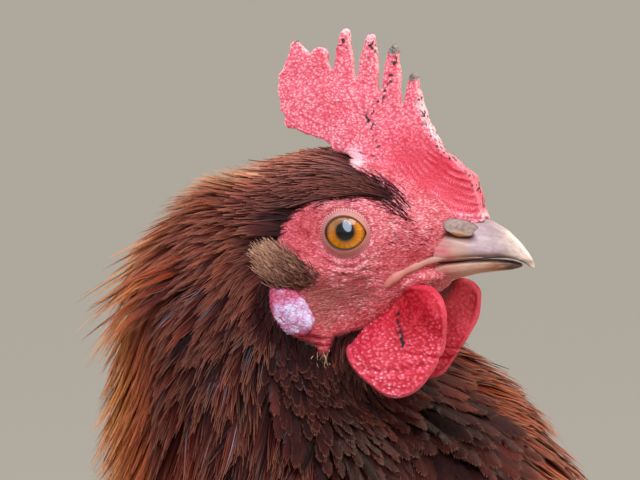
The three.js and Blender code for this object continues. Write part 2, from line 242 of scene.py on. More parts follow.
PEBBLE_FOOT = 0.62  # how far a pebble reaches, as a share of its cell


def grain(points, size, kind="cells"):
    """A noise value per point, for features of about that size: cells peak mid-cell, domes are round
    pebbles from 0 to 1, clouds run from -1 to 1."""
    scaled = points / size
    if kind == "clouds":
        return np.array([noise.noise(p) for p in scaled])
    near, next_near = np.array([noise.voronoi(p)[0][:2] for p in scaled]).T
    return next_near - near if kind == "cells" else np.maximum(1 - (near / PEBBLE_FOOT) ** 2, 0)


def grid_faces(rows, columns, closed=False):
    """Four-cornered faces over rows and columns of points, the columns closing into a ring if asked."""
    across = columns if closed else columns - 1
    i, j = np.meshgrid(np.arange(rows - 1), np.arange(across), indexing="ij")
    k = (j + 1) % columns
    return np.stack([i * columns + j, i * columns + k, (i + 1) * columns + k, (i + 1) * columns + j],
                    -1).reshape(-1, 4)


# ---- The head's own frame ----------------------------------------------------------------------------

eyes = {name: sum(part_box(f"eye_{name}"), Vector()) / 2 for name, _ in SIDES}
HEAD_ORIGIN = np.array((eyes["right"] + eyes["left"]) / 2)
head_left = unit(np.array(eyes["left"] - eyes["right"]))
HEAD_AXES = np.stack([np.cross(head_left, (0, 0, 1)), head_left, (0, 0, 1)], 1)


def to_head(points):
    """Hen's frame in metres to the head's frame in millimetres."""
    return (points - HEAD_ORIGIN) @ HEAD_AXES / MM


def from_head(points):
    return np.asarray(points, float) * MM @ HEAD_AXES.T + HEAD_ORIGIN


# ---- Camera, floor and light -------------------------------------------------------------------------

PIXELS_PER_MM = 4.7  # at the near eye
EYE_PIXEL = (344, 233)
EYE_OUT = 14.4  # from the middle of the head out to the front of an eye, in millimetres
IMAGE = (640, 480)
CAMERA_AZIMUTH, CAMERA_ELEVATION = math.radians(-12), math.radians(3.4)
CAMERA_DISTANCE = 1.25
SENSOR = 36

back = Vector((math.sin(CAMERA_AZIMUTH) * math.cos(CAMERA_ELEVATION),
               -math.cos(CAMERA_AZIMUTH) * math.cos(CAMERA_ELEVATION), math.sin(CAMERA_ELEVATION)))
camera = bpy.data.objects.new("camera", bpy.data.cameras.new("camera"))
bpy.context.scene.collection.objects.link(camera)
camera.rotation_mode = "QUATERNION"
camera.rotation_quaternion = (-back).to_track_quat("-Z", "Y")
right, up = (camera.rotation_quaternion @ Vector(axis) for axis in ((1, 0, 0), (0, 1, 0)))
eye_beside = (EYE_PIXEL[0] - IMAGE[0] / 2) * MM / PIXELS_PER_MM  # from the picture's middle
eye_above = (IMAGE[1] / 2 - EYE_PIXEL[1]) * MM / PIXELS_PER_MM
eye_front = Vector(from_head((0, -EYE_OUT, 0)))
camera.location = eye_front - right * eye_beside - up * eye_above + back * CAMERA_DISTANCE
camera.data.sensor_width = SENSOR
camera.data.lens = SENSOR * CAMERA_DISTANCE / (IMAGE[0] * MM / PIXELS_PER_MM)
camera.data.clip_start, camera.data.clip_end = 0.01, 200
bpy.context.scene.camera = camera
bpy.context.scene.view_settings.view_transform = "Standard"

# Matt studio paper: one even warm grey, with only a breath of grain, about 2 mm across.
paper, tree = material("studio_paper")
speck = node(tree, "TexNoise", {"Vector": node(tree, "TexCoord", out="Object"), "Scale": 500, "Detail": 3})
shaded(paper, {
    "Base Color": node(tree, "ValToRGB", {"Fac": speck}, stops=[(0.3, "#bab5ac"), (0.7, "#beb9b1")]),
    "Roughness": 0.9})
FLOOR_RADIUS, FLOOR_SIDES = 90, 64
rim = [(FLOOR_RADIUS * math.cos(t), FLOOR_RADIUS * math.sin(t), -0.0004)
       for t in np.linspace(0, 2 * math.pi, FLOOR_SIDES, endpoint=False)]
floor_mesh = bpy.data.meshes.new("floor")
floor_mesh.from_pydata(rim, [], [list(range(FLOOR_SIDES))])
floor_mesh.materials.append(paper)
floor = bpy.data.objects.new("floor", floor_mesh)
bpy.context.scene.collection.objects.link(floor)

world = bpy.data.worlds.new("studio")
world.use_nodes = True
world.node_tree.nodes["Background"].inputs["Color"].default_value = linear("#e9e6e0")
world.node_tree.nodes["Background"].inputs["Strength"].default_value = 0.95
bpy.context.scene.world = world


def softbox(name, azimuth, elevation, distance, size, power, tint):
    """A square lamp aimed at the head, unseen by the camera."""
    lamp = bpy.data.objects.new(name, bpy.data.lights.new(name, "AREA"))
    bpy.context.scene.collection.objects.link(lamp)
    a, e = math.radians(azimuth), math.radians(elevation)
    away = Vector((math.sin(a) * math.cos(e), -math.cos(a) * math.cos(e), math.sin(e)))
    lamp.location = Vector(HEAD_ORIGIN) + away * distance
    lamp.rotation_mode = "QUATERNION"
    lamp.rotation_quaternion = away.to_track_quat("Z", "Y")
    lamp.data.size, lamp.data.energy, lamp.data.color = size, power, linear(tint)[:3]
    lamp.visible_camera = False
    return lamp


softbox("key", -13, 42, 1.3, 0.55, 12, "#f7f7fb")
softbox("side", 50, 40, 1.4, 0.7, 6, "#fff3e4")
softbox("window", -66, 56, 1.5, 0.8, 9, "#ccdaff")
softbox("rim_right", 118, 32, 1.4, 0.5, 12, "#ffe9cf")
softbox("rim_left", -125, 38, 1.4, 0.6, 10, "#fff0dc")
# A window that only glints in the wet eyes.
wet_eyes = bpy.data.collections.new("wet_eyes")
glint = softbox("glint", -34, 25, 0.65, 0.36, 11, "#d3e4ff")
glint.data.shape, glint.data.size_y, glint.visible_diffuse = "ELLIPSE", 0.6, False
glint.light_linking.receiver_collection = wet_eyes
glint.rotation_quaternion @= Quaternion((0, 0, 1), math.radians(28))


# ---- The lie of the coat -----------------------------------------------------------------------------
# At each named place: where it is (both sides alike), which way the feathers point, how deep the coat is, a
# feather's length and width, how round its end is, how light its colour is (0 black-brown, 1 gold) and how
# pale its edge is, partly worn pale and partly a painted rim light. Between places the values run smoothly
# into each other.

HEAD_PLACES = {
    "forehead": ((17, 3, 5), (-0.8, 0.2, 0.5), 0.5, 3.5, 0.22, 0, 0.2, 0.1),
    "comb_side": ((6, 6, 15), (-0.9, 0.1, 0.2), 1.0, 6, 0.26, 0, 0.44, 0.2),
    "brow": ((3, 13, 9.5), (-0.95, 0.1, 0.05), 0.8, 5, 0.24, 0, 0.2, 0.15),
    "crown": ((-8, 5, 18), (-1, 0, -0.1), 2.6, 8, 0.3, 0, 0.66, 0.3),
    "over_ear": ((-11, 15, 7), (-0.95, 0.05, -0.25), 1.2, 7, 0.28, 0, 0.14, 0.15),
    "hind_crown": ((-22, 6, 13), (-0.95, 0, -0.26), 5.5, 12, 1.6, 0.05, 1, 0.4),
    "behind_ear": ((-24, 16, -2), (-0.85, 0.1, -0.5), 3, 11, 1.6, 0.1, 0.34, 0.3),
    "cheek": ((-2, 13, -11), (-0.97, 0.1, -0.2), 0.4, 3.5, 0.3, 0, 0.5, 0.2),
    "under_lobe": ((-9, 13, -25), (-0.1, 0.1, -1), 1.8, 6, 2.6, 0.95, 0.05, 0.4),
    "chin": ((8, 4, -15), (-0.3, 0.1, -1), 0.6, 4, 0.3, 0, 0.12, 0.2),
}
BODY_PLACES = {
    "nape": ((52, 14, 336), (-0.92, 0, -0.4), 7, 17, 2.1, 0.05, 1, 0.6),
    "neck_hind": ((42, 14, 305), (-0.66, 0, -0.75), 11, 25, 2.6, 0.05, 0.93, 0.35),
    "neck_base": ((26, 12, 276), (-0.72, 0, -0.7), 13, 40, 4.0, 0.1, 0.9, 0.2),
    "neck_side_high": ((72, 42, 318), (-0.66, 0.1, -0.74), 4.5, 20, 2.3, 0.1, 0.13, 0.2),
    "neck_side": ((76, 46, 292), (-0.36, 0.1, -0.93), 6, 26, 3.0, 0.15, 0.19, 0.15),
    "neck_side_low": ((70, 52, 270), (-0.3, 0.1, -0.95), 7, 36, 4.4, 0.2, 0.45, 0.2),
    "under_ear": ((94, 40, 298), (-0.02, 0, -1), 3, 9, 3.4, 0.9, 0.05, 0.4),
    "throat": ((116, 24, 298), (0.35, -0.1, -0.93), 3.5, 13, 5, 0.8, 0.08, 0.25),
    "crop_top": ((130, 8, 300), (0.84, 0, -0.55), 5, 20, 6, 0.3, 0.5, 0.4),
    "crop_front": ((156, 6, 276), (0.6, 0, -0.8), 7, 27, 8, 0.3, 0.6, 0.4),
    "crop_side": ((112, 44, 272), (0.1, 0.1, -1), 7, 28, 8, 0.7, 0.36, 0.4),
    "breast": ((166, 0, 236), (0.05, 0, -1), 8, 32, 15, 1, 0.55, 0.5),
    "breast_side": ((134, 56, 238), (-0.35, 0.1, -0.93), 8, 32, 15, 1, 0.53, 0.5),
    "keel_front": ((142, 0, 176), (-0.55, 0, -0.83), 8, 34, 16, 1, 0.53, 0.45),
    "flank_front": ((100, 70, 190), (-0.75, 0, -0.66), 8, 34, 16, 1, 0.53, 0.5),
    "belly": ((60, 0, 112), (-1, 0, -0.05), 8, 32, 17, 1, 0.62, 0.3),
    "flank": ((30, 72, 160), (-0.93, 0, -0.36), 8, 34, 16, 1, 0.55, 0.5),
    "thigh_top": ((20, 62, 128), (-0.45, 0, -0.9), 5, 26, 12, 1, 0.56, 0.4),
    "thigh": ((10, 50, 112), (-0.3, 0, -0.95), 3.5, 23, 8, 0.9, 0.56, 0.3),
    "vent": ((-60, 0, 118), (-0.95, 0, 0.25), 10, 34, 18, 0.9, 0.66, 0.2),
    "flank_hind": ((-45, 62, 165), (-0.97, 0, -0.05), 9, 36, 17, 1, 0.57, 0.4),
    "rump_under": ((-100, 0, 175), (-0.7, 0, 0.7), 9, 34, 15, 0.9, 0.56, 0.3),
    "rump_side": ((-90, 40, 200), (-0.9, 0, 0.2), 8, 34, 14, 0.8, 0.53, 0.35),
    "shoulder": ((96, 58, 256), (-0.85, 0.1, -0.45), 6, 26, 11, 0.8, 0.56, 0.4),
    "wing_front": ((122, 72, 226), (-0.95, 0, -0.25), 2, 14, 9, 1, 0.52, 0.45),
    "wing_bow": ((88, 82, 214), (-0.97, 0, -0.2), 3, 18, 12, 1, 0.54, 0.45),
    "wing_middle": ((40, 84, 214), (-0.98, 0, -0.1), 3, 26, 15, 1, 0.54, 0.45),
    "wing_rear": ((-50, 66, 222), (-1, 0, -0.02), 2.5, 30, 14, 0.9, 0.5, 0.4),
    "back": ((20, 0, 260), (-1, 0, -0.06), 8, 34, 15, 0.9, 0.56, 0.4),
    "back_side": ((10, 50, 250), (-0.95, 0.1, -0.25), 7, 32, 14, 0.9, 0.56, 0.4),
    "saddle": ((-35, 0, 254), (-0.97, 0, 0.2), 8, 38, 9, 0.4, 0.64, 0.3),
    "saddle_side": ((-50, 40, 240), (-0.92, 0.1, -0.25), 7, 38, 8, 0.35, 0.65, 0.3),
    "tail_top": ((-95, 0, 290), (-0.72, 0, 0.7), 6, 36, 13, 0.7, 0.36, 0.3),
    "tail_side": ((-112, 26, 250), (-0.76, 0, 0.65), 6, 38, 14, 0.8, 0.34, 0.3),
    "tail_end": ((-150, 8, 300), (-0.74, 0, 0.67), 6, 38, 14, 0.8, 0.24, 0.2),
}


def coat_table():
    """A row for each named place on each side: where it is, the feathers' way and the numbers."""
    rows = []
    for places, axes, origin in ((HEAD_PLACES, HEAD_AXES, HEAD_ORIGIN),
                                 (BODY_PLACES, np.eye(3), vec(0, 0, 0))):
        for spot, way, *numbers in places.values():
            for flip in (vec(1, -1, 1), vec(1, 1, 1)):
                at = axes @ (vec(*spot) * flip) * MM + origin
                rows.append([*at, *unit(axes @ (vec(*way) * flip)), *numbers])
    return np.array(rows)


COAT_TABLE = coat_table()
PLACE_BLUR = 0.009  # how softly one place's values give way to the next, in metres
PLACE_FALL = 2.2  # and how fast a place's share falls with the square of the distance
AT_ONCE = 20000  # points worked on together


def coat_at(points):
    """Way, depth, length and width (metres), roundness, tone and edge of the coat at each point."""
    result = []
    for some in np.array_split(points, len(points) // AT_ONCE + 1):
        apart = ((some[:, None] - COAT_TABLE[None, :, :3]) ** 2).sum(2) + PLACE_BLUR ** 2
        share = apart ** -PLACE_FALL
        result.append(share / share.sum(1, keepdims=True) @ COAT_TABLE[:, 3:])
    values = np.concatenate(result)
    return {"way": unit(values[:, :3]), "depth": values[:, 3] * MM, "length": values[:, 4] * MM,
            "width": values[:, 5] * MM, "round": values[:, 6], "tone": values[:, 7], "edge": values[:, 8]}


# The bare face, seen from the side, in the head's frame: up in front of the feathered brow, round the
# eye, back to the ear lobe and down to the wattles.
FACE_OUTLINE = [
    (-4, 21), (-3.4, 15.8), (1.7, 12.3), (5.4, 10.2), (8, 9), (9.6, 7), (7.8, 7), (5, 7.7), (-0.6, 7.9),
    (-5.2, 7.2), (-8.8, 6), (-11.6, 4.2), (-13.6, 1.4), (-14.2, -5), (-15, -10), (-14.9, -16),
    (-13, -19.8), (-10, -22.7), (-6.9, -23.9), (-6, -26.2), (-4.2, -26), (-3.4, -22.4), (2.4, -20.6),
    (9.4, -15.6), (14, -14), (18, -16), (32, -14), (32, 21)]


def from_segment(a, b, x, z):
    """How far each place is from the straight line between two spots."""
    (ax, az), (bx, bz) = a, b
    share = np.clip(((x - ax) * (bx - ax) + (z - az) * (bz - az)) / ((bx - ax) ** 2 + (bz - az) ** 2), 0, 1)
    return np.hypot(x - ax - share * (bx - ax), z - az - share * (bz - az))


def from_line(spots, x, z):
    """How far each place is from an open line of spots."""
    return np.min([from_segment(a, b, x, z) for a, b in zip(spots, spots[1:])], 0)


def inside_outline(outline, x, z):
    """Signed distance into an outline, positive inside, in the outline's own unit."""
    spots = np.array(outline, float)
    inside = np.zeros(len(x), bool)
    for (ax, az), (bx, bz) in zip(spots, np.roll(spots, -1, 0)):
        crosses = (az > z) != (bz > z)
        inside ^= crosses & (x < ax + (z - az) * (bx - ax) / np.where(bz == az, 1e-9, bz - az))
    edge = from_line(np.concatenate([spots, spots[:1]]), x, z)
    return np.where(inside, edge, -edge)


def bare_at(points):
    """1 on the bare face, 0 under the coat, with a soft border."""
    x, y, z = to_head(points).T
    side = inside_outline(FACE_OUTLINE, x, z)
    near = (np.abs(y) > 2) | (x > 16)
    return ease(-0.6, 0.8, side) * near * (np.hypot(x, z) < 60) * (np.abs(y) < 26)


# ---- Skin --------------------------------------------------------------------------------------------

SKIN_NODES = ["head", "neck", "trunk", "tail"] + [f"{part}_{name}" for name, _ in SIDES
                                                  for part in ("wing", "thigh", "ear_covert")]
SKIN_VOXEL = 2.5 * MM
HEAD_REACH = 38  # the part of the skin this near to the eyes' middle is made finer, in millimetres

# Folds that a live bird's loose skin makes, as balls of (middle, radius): from the corner of the mouth
# back under the cheek, and the throat.
JAW_FOLD = [((-6, 8.5, -19), 5.6), ((-1, 7.6, -17), 5), ((4, 6.8, -14.6), 4.6), ((8.5, 6.2, -12), 4),
            ((12, 5.4, -10.2), 3.2)]
THROAT = [((-8, 6, -24), 8), ((-3, 0, -24), 8.5), ((3, 0, -18), 6), ((16, 3, -11.4), 3.6),
          ((19.6, 1.8, -9.8), 2.6)]
# Where the feathered thigh runs down over the joint, in the hen's frame.
HOCK = [((2, 37, 99), 8.5), ((7, 39, 108), 11)]
THINNEST = 0.33  # the coat takes no more of the body's thickness than this
SINK_STEPS = 5


def sink_by_coat(mesh):
    """Draws the skin in by the coat's depth, in small steps."""
    edges = arrays_of(mesh)[2]
    points, ways = surface_of(mesh)
    solid = tree_of(mesh)
    thick = np.array([solid.ray_cast(Vector(p - n * 1e-4), Vector(-n))[3] or 1.0
                      for p, n in zip(points, ways)])
    thick = relaxed(thick[:, None], edges, 6)[:, 0]
    depth = np.minimum(coat_at(points)["depth"] * (1 - 0.6 * bare_at(points)), thick * THINNEST)
    depth = relaxed(depth[:, None], edges, 6)[:, 0]
    for _ in range(SINK_STEPS):
        points, ways = surface_of(mesh)
        move(mesh, relaxed(points - ways * (depth / SINK_STEPS)[:, None], edges, 1))


def unwrap(mesh):
    shown = bpy.data.objects.new("unwrapping", mesh)
    bpy.context.scene.collection.objects.link(shown)
    bpy.context.view_layer.objects.active = shown
    mesh.uv_layers.new(name="OFBake")
    bpy.ops.object.mode_set(mode="EDIT")
    bpy.ops.mesh.select_all(action="SELECT")
    bpy.ops.uv.smart_project(angle_limit=math.radians(62), island_margin=0.004)
    bpy.ops.object.mode_set(mode="OBJECT")
    bpy.data.objects.remove(shown)


def finer_head(work):
    """Four faces for one over the head, then nearer the face, and once more where it is bare."""
    for level, reach in enumerate((HEAD_REACH, HEAD_REACH * 0.86, HEAD_REACH * 0.86)):
        work.verts.ensure_lookup_table()
        spots = np.array([v.co[:] for v in work.verts])
        near = (np.linalg.norm(to_head(spots), axis=1) < reach) & ((level < 2) | (bare_at(spots) > 0.01))
        work.verts.index_update()
        cut = [e for e in work.edges if near[e.verts[0].index] and near[e.verts[1].index]]
        bmesh.ops.subdivide_edges(work, edges=cut, cuts=1, use_grid_fill=True)
    bmesh.ops.triangulate(work, faces=[f for f in work.faces if len(f.verts) > 4])


def skin_mesh():
    fillers = [((x, side * y, z), radius) for (x, y, z), radius in JAW_FOLD + THROAT for side in (-1, 1)]
    fillers += [(to_head(vec(x, side * y, z) * MM), radius) for (x, y, z), radius in HOCK for side in (-1, 1)]
    mesh = remeshed(SKIN_NODES + ["eye_right", "eye_left"], SKIN_VOXEL, fillers)
    points, _, edges = arrays_of(mesh)
    move(mesh, relaxed(points, edges, 5))
    sink_by_coat(mesh)
    unwrap(mesh)
    reworked(mesh, finer_head)
    mesh.shade_smooth()
    points, _, edges = arrays_of(mesh)
    on_head = ease(HEAD_REACH, HEAD_REACH - 8, np.linalg.norm(to_head(points), axis=1))
    move(mesh, relaxed(points, edges, 6, 0.5 * on_head))
    return mesh


def lobe_rolls(x, z):
    """Short rolls of skin that hang below the ear lobe: 1 on their backs, -1 between them."""
    roll = z + 22.6 + 0.3 * (x + 9)
    return np.cos(2 * math.pi * roll / 1.5) * bump(roll, 0, 1.8) * ease(-15, -13, x) * ease(-4, -6, x)


LID_REACH = 5.5  # from the middle of an eye's opening out to the edge of its ring of lid, in millimetres
SOCKET_OUT, FACE_OUT = 10.5, 12.9  # how far out the skin lies under an eye's ring of lid and round it


def shape_face(mesh):
    """Sinks the eyes' sockets and raises the folds and the grain of the bare skin."""
    points, ways = surface_of(mesh)
    bare = bare_at(points)
    local = to_head(points)
    x, y, z = local.T.copy()
    out = np.abs(y)
    from_eye = np.hypot(x + 0.35, z + 0.25)
    beside = (out > 4) & (from_eye < 14)
    level = np.where(from_eye < LID_REACH - 0.4, SOCKET_OUT, FACE_OUT)
    share = ease(10.5, LID_REACH - 0.2, from_eye) * beside
    local[:, 1] = np.where(beside, np.where(y > 0, 1.0, -1.0) * (level * share + out * (1 - share)), y)
    points = from_head(local)

    rings = 0.24 * np.cos(2 * math.pi * (from_eye - LID_REACH - 0.9) / 1.7) \
        * bump(from_eye, LID_REACH + 1.6, 2.4)
    folds = rings * (1 - 0.6 * ease(0, 3, z))
    # The cheek's long folds run from the corner of the mouth back towards the ear.
    run = z + 11.1 + 0.28 * (x - 9) - 0.012 * (x + 4) ** 2
    folds = folds + 0.17 * np.cos(2 * math.pi * run / 2.1) * bump(run, 1.5, 3.2) \
        * ease(-16, -9, x) * ease(12, 5, x)
    folds = folds + 0.6 * lobe_rolls(x, z)
    pebbles = grain(points, 0.85 * MM) * 0.3 + grain(points * (1, 1, 2.2), 1.1 * MM, "clouds") * 0.12 \
        + grain(points, 2.6 * MM, "clouds") * 0.16
    raise_by(mesh, points, ways, np.where(from_eye > LID_REACH, bare * (folds + pebbles), 0))


skin = skin_mesh()
shape_face(skin)


# ---- Finishes of skin and horn -----------------------------------------------------------------------

HEAD_YAW = math.atan2(HEAD_AXES[1, 0], HEAD_AXES[0, 0])
# From black-brown through chestnut to gold: one scale of colours for skin and coat alike.
COAT_TONES = [
    (0, "#120405"), (0.2, "#2b0b0b"), (0.4, "#501b14"), (0.6, "#823012"), (0.8, "#ac531a"), (1, "#cf9447")]
# The same scale on the head, where the feathers are duller, with a mauve cast that is painted sheen of the
# sky.
CROWN_TONES = [
    (0, "#140709"), (0.2, "#2e1214"), (0.4, "#532724"), (0.6, "#804336"), (0.8, "#a46248"), (1, "#c89a74")]
# Comb, wattles and the skin at their roots, from the furrows between their pebbles to the dry rims.
COMB_TONES = [
    (0, "#7d0a18"), (0.2, "#ac0d1e"), (0.42, "#bc2135"), (0.62, "#cc4055"), (0.8, "#dc6c7f"), (1, "#f3b5c0")]
SUM = {"operation": "MULTIPLY_ADD"}  # the first times the second, plus the third
BLEND = {"data_type": "RGBA", "out": 2}  # two colours, 6 and 7, by a share, 0


def along_head(tree, *size):
    """Coordinates in the head's own frame, divided by a size in millimetres each way."""
    return node(tree, "Mapping", {
        "Vector": node(tree, "TexCoord", out="Object"), "Rotation": (0, 0, HEAD_YAW),
        "Scale": [across * MM for across in size]}, vector_type="TEXTURE")


def sunk_light(ior, weight, radius, scale):
    """What the shader takes for stuff that light sinks into: how much of it, the share of that depth for
    red, green and blue, and the depth in millimetres."""
    return {"IOR": ior, "Subsurface Weight": weight, "Subsurface Radius": radius,
            "Subsurface Scale": scale * MM}


def skin_finish():
    # Living skin: soft and a little waxy where it is bare, with blood under it, so light sinks in. It is
    # grained with pale crowns of about 0.7 mm between red furrows; under the coat it has the coat's colour,
    # darkened most of the way to black-brown as painted shade from the feathers over it.
    made, tree = material("living_skin")
    lying = along_head(tree, 0.6, 0.6, 0.28)
    blotch = node(tree, "TexNoise", {"Vector": along_head(tree, 1, 1, 1), "Scale": 0.4, "Detail": 3})
    streak = node(tree, "TexNoise", {"Vector": lying, "Scale": 1, "Detail": 3})
    cells = node(tree, "TexVoronoi", {"Vector": lying, "Scale": 0.8})
    grained = node(tree, "Math", {0: cells, 1: -0.34, 2: streak}, **SUM)
    mixed = node(tree, "Math", {0: blotch, 1: 0.6, 2: grained}, **SUM)
    lift = node(tree, "Math", {0: "flush", 1: -0.3, 2: mixed}, **SUM)
    cool = node(tree, "ValToRGB", {"Fac": lift}, stops=[
        (0.2, "#861828"), (0.42, "#ad3644"), (0.6, "#be525d"), (0.76, "#cf7882"), (1.0, "#efbdc0")])
    hot = node(tree, "ValToRGB", {"Fac": lift}, stops=COMB_TONES)
    flesh = node(tree, "Mix", {0: "heat", 6: cool, 7: hot}, **BLEND)
    coat = node(tree, "ValToRGB", {"Fac": "tone"}, stops=COAT_TONES)
    # Painted shade: under the coat the skin is darkened towards black-brown.
    painted_shade_under_coat = node(tree, "Mix", {0: 0.7, 6: coat, 7: "#0c0404"}, **BLEND)
    return shaded(made, {
        "Base Color": node(tree, "Mix", {0: "bare", 6: painted_shade_under_coat, 7: flesh}, **BLEND),
        "Roughness": node(tree, "MapRange", {"Value": cells, "To Min": 0.38, "To Max": 0.6}),
        "Normal": node(tree, "Bump", {"Height": grained, "Strength": 0.7, "Distance": 0.25 * MM}),
        **sunk_light(1.4, 0.12, (1, 0.25, 0.15), 1.5)})


def comb_finish():
    # Comb and wattle: thick blood-red skin, waxy and matt, pebbled with cells of about 1 mm whose crowns
    # catch the light pink; rims are dry and pale, tips frosted grey, and old pecks leave black scabs.
    made, tree = material("comb_skin")
    even = along_head(tree, 1, 1, 1)
    sway = node(tree, "TexNoise", {"Vector": even, "Scale": 0.16, "Detail": 1}, out="Color")
    swayed = node(tree, "VectorMath", {0: sway, 1: (2.4, 2.4, 2.4), 2: even}, **SUM)
    rows = node(tree, "Mapping", {"Vector": swayed, "Scale": (1.5, 1.5, 1.9)})
    cells = node(tree, "TexVoronoi", {"Vector": rows, "Scale": 1})
    fine = node(tree, "TexNoise", {"Vector": even, "Scale": 2.6, "Detail": 4})
    broad = node(tree, "TexNoise", {"Vector": even, "Scale": 0.16, "Detail": 2})
    crown = node(tree, "MapRange", {
        "Value": cells, "From Min": 0.08, "From Max": 0.75, "To Min": 0.65, "To Max": 0.34})
    mixed = node(tree, "Math", {0: fine, 1: 0.42, 2: crown}, **SUM)
    calm = node(tree, "Mix", {0: "flush", 2: mixed, 3: 0.64}, data_type="FLOAT")
    wide = node(tree, "Math", {0: broad, 1: 0.2, 2: calm}, **SUM)
    lift = node(tree, "Math", {0: "flush", 1: -0.36, 2: wide}, **SUM)
    paler = node(tree, "Math", {0: "rim", 1: 0.34, 2: lift}, **SUM)
    flesh = node(tree, "ValToRGB", {"Fac": paler}, stops=COMB_TONES)
    frost = node(tree, "ValToRGB", {"Fac": fine}, stops=[(0.35, "#3d3736"), (0.65, "#8c837e")])
    tipped = node(tree, "Mix", {0: "grey", 6: flesh, 7: frost}, **BLEND)
    high = node(tree, "Math", {0: fine, 1: 0.5, 2: crown}, **SUM)
    return shaded(made, {
        # Black-brown where the mesh marks old scabs, and on the left wattle's upper rear as painted shade.
        "Base Color": node(tree, "Mix", {0: "scab", 6: tipped, 7: "#1c0d10"}, **BLEND),
        "Roughness": node(tree, "MapRange", {"Value": fine, "To Min": 0.36, "To Max": 0.62}),
        "Normal": node(tree, "Bump", {"Height": high, "Strength": 0.8, "Distance": 0.3 * MM}),
        **sunk_light(1.4, 0.15, (1, 0.2, 0.12), 2.2)})


def lobe_finish():
    # Ear lobe: pearly lilac-white plates of skin about 2 mm across, parted by pink-red creases.
    made, tree = material("ear_lobe_skin")
    even = along_head(tree, 1, 1, 1)
    cloud = node(tree, "TexNoise", {"Vector": even, "Scale": 0.9, "Detail": 3})
    bent = node(tree, "VectorMath", {0: cloud.node.outputs["Color"], 1: (0.9, 0.9, 0.9), 2: even}, **SUM)
    long = node(tree, "Mapping", {"Vector": bent, "Scale": (0.42, 0.42, 1.15)})
    cells = node(tree, "TexVoronoi", {"Vector": long, "Scale": 0.9}, feature="DISTANCE_TO_EDGE")
    crack = node(tree, "MapRange", {
        "Value": cells, "From Min": 0.0, "From Max": 0.07, "To Min": -0.45, "To Max": 0.0})
    plated = node(tree, "Math", {0: "plate", 1: crack, 2: 0.56}, **SUM)
    wide = node(tree, "Math", {0: cloud, 1: 0.3, 2: plated}, **SUM)
    lift = node(tree, "Math", {0: "flush", 1: -0.6, 2: wide}, **SUM)
    return shaded(made, {
        "Base Color": node(tree, "ValToRGB", {"Fac": lift}, stops=[
            (0.0, "#8e2540"), (0.26, "#ab3f60"), (0.44, "#b2688c"), (0.6, "#b694ba"), (0.82, "#d6ccea")]),
        "Roughness": 0.27,
        "Normal": node(tree, "Bump", {"Height": crack, "Strength": 0.6, "Distance": 0.25 * MM}),
        **sunk_light(1.4, 0.12, (1, 0.3, 0.25), 1.2)})


def horn_finish(name, stops, roughness):
    # Horn: keratin, smooth and half clear, polished by use; pinkish over the bone and ivory or brown at
    # its worn end, with hair-fine streaks along it.
    made, tree = material(name)
    lines = node(tree, "TexNoise", {"Vector": along_head(tree, 4.5, 0.7, 0.7), "Scale": 1, "Detail": 4})
    blur = node(tree, "Math", {0: lines, 1: 0.42, 2: "along"}, **SUM)
    shade = node(tree, "ValToRGB", {"Fac": blur}, stops=stops)
    return shaded(made, {
        # Where the mesh marks it, the horn is darkened to brown-black: painted shade in slits, under the flap
        # and along the mouth.
        "Base Color": node(tree, "Mix", {0: "grime", 6: shade, 7: "#3a1a16"}, **BLEND),
        "Roughness": node(tree, "MapRange", {
            "Value": lines, "To Min": roughness - 0.08, "To Max": roughness + 0.14}),
        "Normal": node(tree, "Bump", {"Height": lines, "Strength": 0.25, "Distance": 0.15 * MM}),
        **sunk_light(1.54, 0.1, (1, 0.6, 0.45), 1)})


def eye_finish():
    # Eye: an amber iris of fine spokes round a black pupil, wet and clear over all of it.
    made, tree = material("wet_eye")
    colour = node(tree, "ValToRGB", {"Fac": "ring"}, stops=[
        (0.0, "#020203"), (0.295, "#030304"), (0.32, "#5a3206"), (0.4, "#b56a08"), (0.54, "#dc8a0c"),
        (0.63, "#c06a08"), (0.69, "#6d3108"), (0.76, "#1d1009"), (1.0, "#140d0b")])
    spoked = node(tree, "Mix", {0: "spoke", 6: colour, 7: "#6b3a08"}, **BLEND, blend_type="MULTIPLY")
    return shaded(made, {
        # Towards the top the iris is mixed with grey-tan: painted shade under the lid and a painted
        # reflection of the sky.
        "Base Color": node(tree, "Mix", {0: "above", 6: spoked, 7: "#6b5b4c"}, **BLEND),
        "Roughness": 0.4, "IOR": 1.38, "Specular IOR Level": 0.05,
        "Coat Weight": 1.0, "Coat Roughness": 0.06, "Coat IOR": 1.37})


def lid_finish():
    # Ring of lid: thin bare skin, tan-pink, combed with fine pale ticks round its outer half and edged with a
    # dark line where it meets the eye.
    made, tree = material("lid_skin")
    band = node(tree, "ValToRGB", {"Fac": "across"}, stops=[
        (0.0, "#1b0d0b"), (0.1, "#4a201a"), (0.2, "#a8685c"), (0.42, "#b87a6e"), (0.62, "#a65660"),
        (0.85, "#9a3f4e"), (1.0, "#98384a")])
    combed = node(tree, "ValToRGB", {"Fac": "tick"}, stops=[
        (0.2, "#8c3842"), (0.5, "#aa5c64"), (0.8, "#e2b8b0")])
    where = node(tree, "ValToRGB", {"Fac": "across"}, stops=[
        (0.55, "#000000"), (0.68, "#d8d8d8"), (0.84, "#d8d8d8"), (0.95, "#000000")])
    both = node(tree, "Mix", {0: where, 6: band, 7: combed}, **BLEND)
    return shaded(made, {
        "Base Color": node(tree, "Mix", {0: "high", 6: both, 7: "#c89a96"}, **BLEND),
        "Roughness": 0.42, **sunk_light(1.4, 0.1, (1, 0.3, 0.2), 0.8)})


